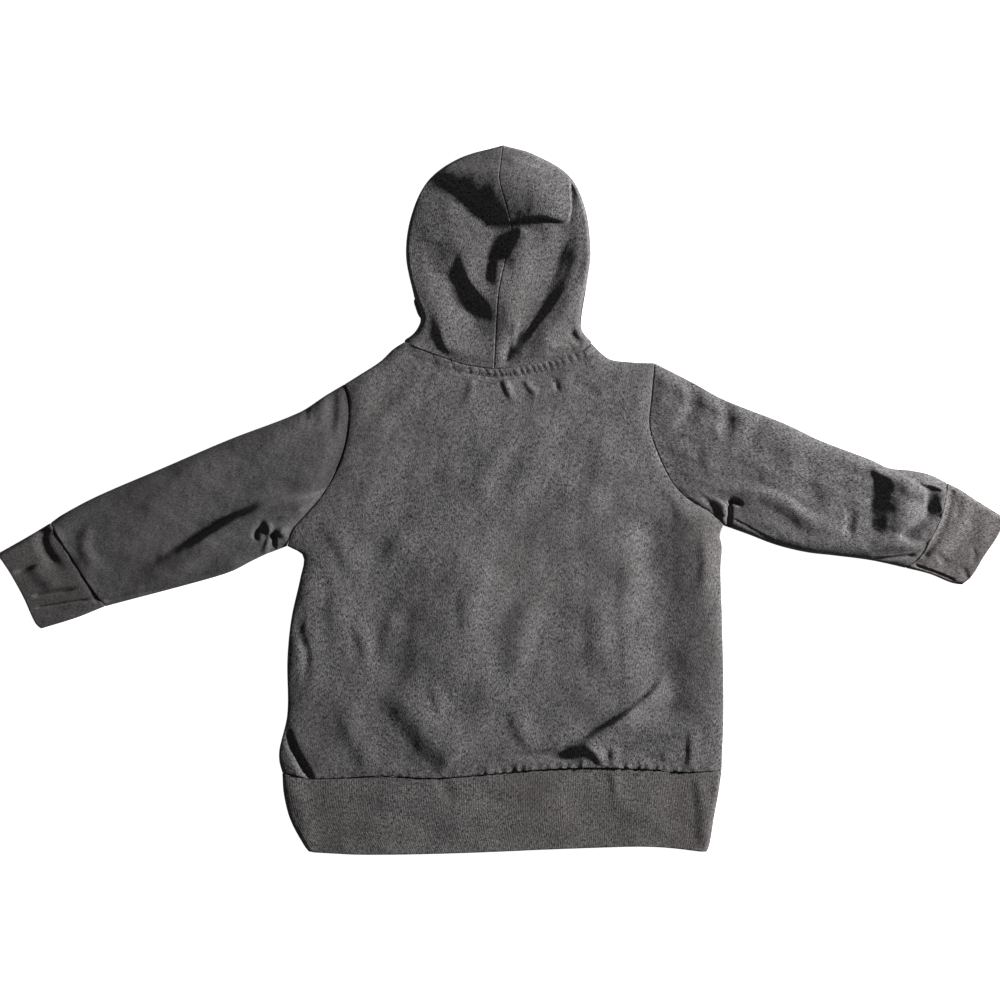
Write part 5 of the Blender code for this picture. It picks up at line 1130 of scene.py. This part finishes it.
# ---------------------------------------------------------------- thread
def add_stitches(name, line, sizes):
    """Short stitches of thread laid end to end along a line of points on the cloth."""
    length = sizes.stitch_length / MM
    total = np.linalg.norm(np.diff(line, axis=0), axis=1).sum()
    count = int(total / (length + STITCH_GAP))
    starts = np.linspace(0.0, 1.0 - length / total, count)
    turns = np.linspace(0.0, 2.0 * np.pi, STITCH_SIDES, endpoint=False)
    lengthwise = np.linspace(0.0, 1.0, STITCH_RINGS)
    radius = 0.5 * sizes.thread_width / MM
    girths = radius * np.sqrt(np.maximum(1.0 - (2.0 * lengthwise - 1.0) ** 4, STITCH_END_GIRTH**2))
    ring_quads = grid_quads(STITCH_RINGS, STITCH_SIDES, closed=True)
    ends = np.array([np.arange(STITCH_SIDES)[::-1],
                     (STITCH_RINGS - 1) * STITCH_SIDES + np.arange(STITCH_SIDES)])
    points, faces = [], []
    for number, start in enumerate(starts):
        middle = at_shares([line], [start + lengthwise * length / total])[0]
        middle[:, 2] += THREAD_LIFT - THREAD_DIP * (2.0 * lengthwise - 1.0) ** 4
        run = middle[-1] - middle[0]
        run /= np.linalg.norm(run)
        sideways = np.cross((0.0, 0.0, 1.0), run)
        sideways /= np.linalg.norm(sideways)
        upward = np.cross(run, sideways)
        around = np.cos(turns)[:, None] * sideways + np.sin(turns)[:, None] * upward
        points.append((middle[:, None] + girths[:, None, None] * around[None]).reshape(-1, 3))
        first = number * STITCH_RINGS * STITCH_SIDES
        faces += (first + ring_quads).tolist() + (first + ends).tolist()
    return add_mesh(name, np.vstack(points), faces, material_for("thread"))


# ---------------------------------------------------------------- settings
class HoodieSettings(bpy.types.PropertyGroup):
    """Sizes and colours of the hoodie."""
    cloth_wall: bpy.props.FloatProperty(
        name="Cloth", description="Thickness of the sweatshirt cloth", default=0.002, unit="LENGTH")
    rib_wall: bpy.props.FloatProperty(
        name="Doubled rib", description="Thickness of the doubled rib", default=0.0024, unit="LENGTH")
    rib_pitch: bpy.props.FloatProperty(
        name="Rib pitch", description="One rib and one furrow", default=0.00165, unit="LENGTH")
    rib_height: bpy.props.FloatProperty(
        name="Rib height", description="How far a rib stands above its furrow", default=0.00008,
        unit="LENGTH")
    stitch_length: bpy.props.FloatProperty(
        name="Stitch", description="Length of one stitch at the neck", default=0.0028, unit="LENGTH")
    thread_width: bpy.props.FloatProperty(
        name="Thread", description="Width of the sewing thread", default=0.0005, unit="LENGTH")
    slackness: bpy.props.FloatProperty(
        name="Slackness", description="How uneven the slack cloth lies", default=1.0, min=0.0, max=2.0)
    cloth_colour: bpy.props.FloatVectorProperty(
        name="Cloth colour", description="Washed charcoal of the body, sleeves and hood",
        default=(0.098, 0.095, 0.098), subtype="COLOR")
    rib_colour: bpy.props.FloatVectorProperty(
        name="Rib colour", description="Washed charcoal of the cuffs and the hem band",
        default=(0.097, 0.092, 0.093), subtype="COLOR")
    thread_colour: bpy.props.FloatVectorProperty(
        name="Thread colour", description="Dark sewing thread", default=(0.045, 0.044, 0.046),
        subtype="COLOR")


class StudioSettings(bpy.types.PropertyGroup):
    """Light and camera of the studio."""
    key_power: bpy.props.FloatProperty(
        name="Key light", description="Power of the low light on the right", default=190.0, unit="POWER")
    key_size: bpy.props.FloatProperty(
        name="Key size", description="Side of the low light", default=0.19, unit="LENGTH")
    key_distance: bpy.props.FloatProperty(
        name="Key distance", description="From the garment to the low light", default=2.6, unit="LENGTH")
    key_azimuth: bpy.props.FloatProperty(
        name="Key direction", description="Direction of the low light, from +X towards +Y",
        default=np.radians(17.0), subtype="ANGLE")
    key_elevation: bpy.props.FloatProperty(
        name="Key elevation", description="Height of the low light above the surface",
        default=np.radians(19.0), subtype="ANGLE")
    fill_strength: bpy.props.FloatProperty(
        name="Fill", description="Strength of the even light from all round", default=0.08)
    floor_glow: bpy.props.FloatProperty(
        name="Floor glow", description="How much the pale floor lightens its own shadows", default=1.0)
    camera_height: bpy.props.FloatProperty(
        name="Camera height", description="From the surface to the camera", default=4.0, unit="LENGTH")
    view_width: bpy.props.FloatProperty(
        name="View width", description="Width of the surface that the camera sees", default=0.762,
        unit="LENGTH")


# ---------------------------------------------------------------- operators
class HOODIE_OT_add_body(bpy.types.Operator):
    """Add the back and the front panel"""
    bl_idname = "hoodie.add_body"
    bl_label = "Body panels"

    def execute(self, context):
        sizes = context.scene.hoodie
        sew_in(add_back_cloth(sizes), "back_panel")
        sew_in(add_front_cloth(sizes), "front_panel")
        return {"FINISHED"}


class HOODIE_OT_add_sleeves(bpy.types.Operator):
    """Add the two sleeves"""
    bl_idname = "hoodie.add_sleeves"
    bl_label = "Sleeves"

    def execute(self, context):
        sizes = context.scene.hoodie
        for node, step, armhole, cuff_seam, edges, heights, folds, hump in (
                ("left_sleeve", -1, ARMHOLE_LEFT, CUFF_SEAM_LEFT, (SLEEVE_LOWER_LEFT, SLEEVE_UPPER_LEFT),
                 LEFT_SLEEVE_HEIGHTS, LEFT_SLEEVE_FOLDS, ()),
                ("right_sleeve", 1, ARMHOLE_RIGHT, CUFF_SEAM_RIGHT, (SLEEVE_UPPER_RIGHT, SLEEVE_LOWER_RIGHT),
                 RIGHT_SLEEVE_HEIGHTS, RIGHT_SLEEVE_FOLDS, SLEEVE_HUMP)):
            start = moved(smooth_line(armhole, FINE * ARMHOLE_ROWS), step * SEAM_GAP)[::step]
            sleeve = add_sleeve_cloth(node, start, smooth_line(cuff_seam)[::step], edges, heights,
                                      folds, hump, sizes)
            sew_in(sleeve, node)
        return {"FINISHED"}


class HOODIE_OT_add_cuffs(bpy.types.Operator):
    """Add the two rib cuffs"""
    bl_idname = "hoodie.add_cuffs"
    bl_label = "Cuffs"

    def execute(self, context):
        sizes = context.scene.hoodie
        for node, step, seam, mouth, edges, folds in (
                ("left_cuff", -1, CUFF_SEAM_LEFT, CUFF_MOUTH_LEFT, (CUFF_LOWER_LEFT, CUFF_UPPER_LEFT),
                 LEFT_CUFF_FOLDS),
                ("right_cuff", 1, CUFF_SEAM_RIGHT, CUFF_MOUTH_RIGHT, (CUFF_UPPER_RIGHT, CUFF_LOWER_RIGHT),
                 RIGHT_CUFF_FOLDS)):
            start = moved(smooth_line(seam)[::step], SEAM_GAP)
            cuff = add_rib_cloth(node, start, smooth_line(mouth)[::step], edges, CUFF_HEIGHT,
                                 CUFF_ROWS, folds, sizes)
            sew_in(cuff, node)
        return {"FINISHED"}


class HOODIE_OT_add_hem_band(bpy.types.Operator):
    """Add the rib band round the hem"""
    bl_idname = "hoodie.add_hem_band"
    bl_label = "Hem band"

    def execute(self, context):
        sizes = context.scene.hoodie
        top = moved(smooth_line(HEM_SEAM), -SEAM_GAP)
        sides = (BAND_SIDE_LEFT[::-1], BAND_SIDE_RIGHT[::-1])
        band = add_rib_cloth("hem_band", smooth_line(HEM_EDGE), top, sides, BAND_HEIGHT, BAND_ROWS,
                             BAND_FOLDS, sizes)
        sew_in(band, "hem_band")
        return {"FINISHED"}


class HOODIE_OT_add_hood(bpy.types.Operator):
    """Add both halves of the hood"""
    bl_idname = "hoodie.add_hood"
    bl_label = "Hood"

    def execute(self, context):
        sizes = context.scene.hoodie
        back, front = (moved(smooth_line(neck), SEAM_GAP) for neck in (BACK_NECK, FRONT_NECK))
        back_middle = np.abs(back[:, 0] - HOOD_SEAM[0][0]).argmin()
        front_middle = np.abs(front[:, 0] - FACE_EDGE_LEFT[0][0]).argmin()
        for end, inward in ((0, 1.0), (-1, -1.0)):
            back[end] = front[end] = FRONT_NECK[end] + NECK_TURN * (inward, 1.0)
        for node, side, back_half, front_half, edge, face_edge in (
                ("hood_left", -1, back[back_middle::-1], front[:front_middle + 1], HOOD_EDGE_LEFT,
                 FACE_EDGE_LEFT),
                ("hood_right", 1, back[back_middle:], front[:front_middle - 1:-1], HOOD_EDGE_RIGHT,
                 FACE_EDGE_RIGHT)):
            half = add_hood_cloth(node, side, back_half, front_half, edge, face_edge, sizes)
            sew_in(half, node)
        return {"FINISHED"}


class HOODIE_OT_add_stitches(bpy.types.Operator):
    """Add the stitching that holds the neck seam down"""
    bl_idname = "hoodie.add_stitches"
    bl_label = "Neck stitches"

    def execute(self, context):
        sizes = context.scene.hoodie
        neck = smooth_line(BACK_NECK)[NECK_STITCH_MARGIN:-NECK_STITCH_MARGIN]
        line = back_surface(moved(neck, -NECK_BAND)[None], sizes)[0][0]
        stitches = add_stitches("neck_stitches", line, sizes)
        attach(stitches, BODY)
        return {"FINISHED"}


class HOODIE_OT_add_studio(bpy.types.Operator):
    """Add the pale floor, the soft lights and the camera"""
    bl_idname = "hoodie.add_studio"
    bl_label = "Studio"

    def execute(self, context):
        studio = context.scene.hoodie_studio
        bpy.ops.object.select_all(action="DESELECT")
        bpy.ops.mesh.primitive_plane_add(size=FLOOR_SIZE, location=(0.0, 0.0, -FLOOR_DROP))
        floor = context.active_object
        floor.name = "floor"
        paint = bpy.data.materials.new("pale_floor")
        paint.use_nodes = True
        inputs = paint.node_tree.nodes["Principled BSDF"].inputs
        inputs["Base Color"].default_value = FLOOR_COLOUR
        inputs["Roughness"].default_value = FLOOR_ROUGHNESS
        inputs["Specular IOR Level"].default_value = FLOOR_SPECULAR
        inputs["Emission Color"].default_value = WHITE
        inputs["Emission Strength"].default_value = studio.floor_glow
        floor.data.materials.append(paint)
        floor.visible_diffuse = False
        add_key_light(studio)
        world = bpy.data.worlds.new("studio_world")
        world.use_nodes = True
        background = world.node_tree.nodes["Background"]
        background.inputs["Color"].default_value = WHITE
        background.inputs["Strength"].default_value = studio.fill_strength
        context.scene.world = world
        add_camera(studio)
        context.scene.view_settings.view_transform = "Standard"
        context.scene.view_settings.look = "None"
        return {"FINISHED"}


def add_key_light(studio):
    """The low square light that comes from the right."""
    lamp = bpy.data.lights.new("key_light", "AREA")
    lamp.energy = studio.key_power
    lamp.shape = "SQUARE"
    lamp.size = studio.key_size
    lamp.color = KEY_COLOUR
    light = bpy.data.objects.new("key_light", lamp)
    flat = studio.key_distance * np.cos(studio.key_elevation)
    light.location = (flat * np.cos(studio.key_azimuth), flat * np.sin(studio.key_azimuth),
                      studio.key_distance * np.sin(studio.key_elevation))
    light.rotation_euler = (np.pi / 2 - studio.key_elevation, 0.0, studio.key_azimuth + np.pi / 2)
    bpy.context.collection.objects.link(light)


def add_camera(studio):
    """A long lens that looks straight down on the garment."""
    lens = bpy.data.cameras.new("camera")
    lens.sensor_width = SENSOR
    lens.lens = SENSOR * (studio.camera_height - BODY_HEIGHT * MM) / studio.view_width
    lens.clip_end = CLIP_END
    camera = bpy.data.objects.new("camera", lens)
    camera.location = (0.0, 0.0, studio.camera_height)
    bpy.context.collection.objects.link(camera)
    bpy.context.scene.camera = camera


PIECES = (HOODIE_OT_add_body, HOODIE_OT_add_sleeves, HOODIE_OT_add_cuffs, HOODIE_OT_add_hem_band,
          HOODIE_OT_add_hood, HOODIE_OT_add_stitches, HOODIE_OT_add_studio)


class HOODIE_PT_sidebar(bpy.types.Panel):
    """Lists the hoodie's sizes and pieces"""
    bl_idname = "HOODIE_PT_sidebar"
    bl_label = "Toddler hoodie"
    bl_space_type = "VIEW_3D"
    bl_region_type = "UI"
    bl_category = "Hoodie"

    def draw(self, context):
        for settings in (context.scene.hoodie, context.scene.hoodie_studio):
            for name in settings.__annotations__:
                self.layout.prop(settings, name)
        for operator in PIECES:
            self.layout.operator(operator.bl_idname)


CLASSES = (HoodieSettings, StudioSettings, *PIECES, HOODIE_PT_sidebar)


def register():
    """Make the settings, the operators and the panel known to Blender."""
    for item in CLASSES:
        bpy.utils.register_class(item)
    bpy.types.Scene.hoodie = bpy.props.PointerProperty(type=HoodieSettings)
    bpy.types.Scene.hoodie_studio = bpy.props.PointerProperty(type=StudioSettings)


def unregister():
    """Take them away again."""
    del bpy.types.Scene.hoodie_studio
    del bpy.types.Scene.hoodie
    for item in reversed(CLASSES):
        bpy.utils.unregister_class(item)


def main():
    """Make the whole hoodie and its studio."""
    register()
    bpy.ops.hoodie.add_body()
    bpy.ops.hoodie.add_sleeves()
    bpy.ops.hoodie.add_cuffs()
    bpy.ops.hoodie.add_hem_band()
    bpy.ops.hoodie.add_hood()
    bpy.ops.hoodie.add_stitches()
    bpy.ops.hoodie.add_studio()


if __name__ == "__main__":
    main()
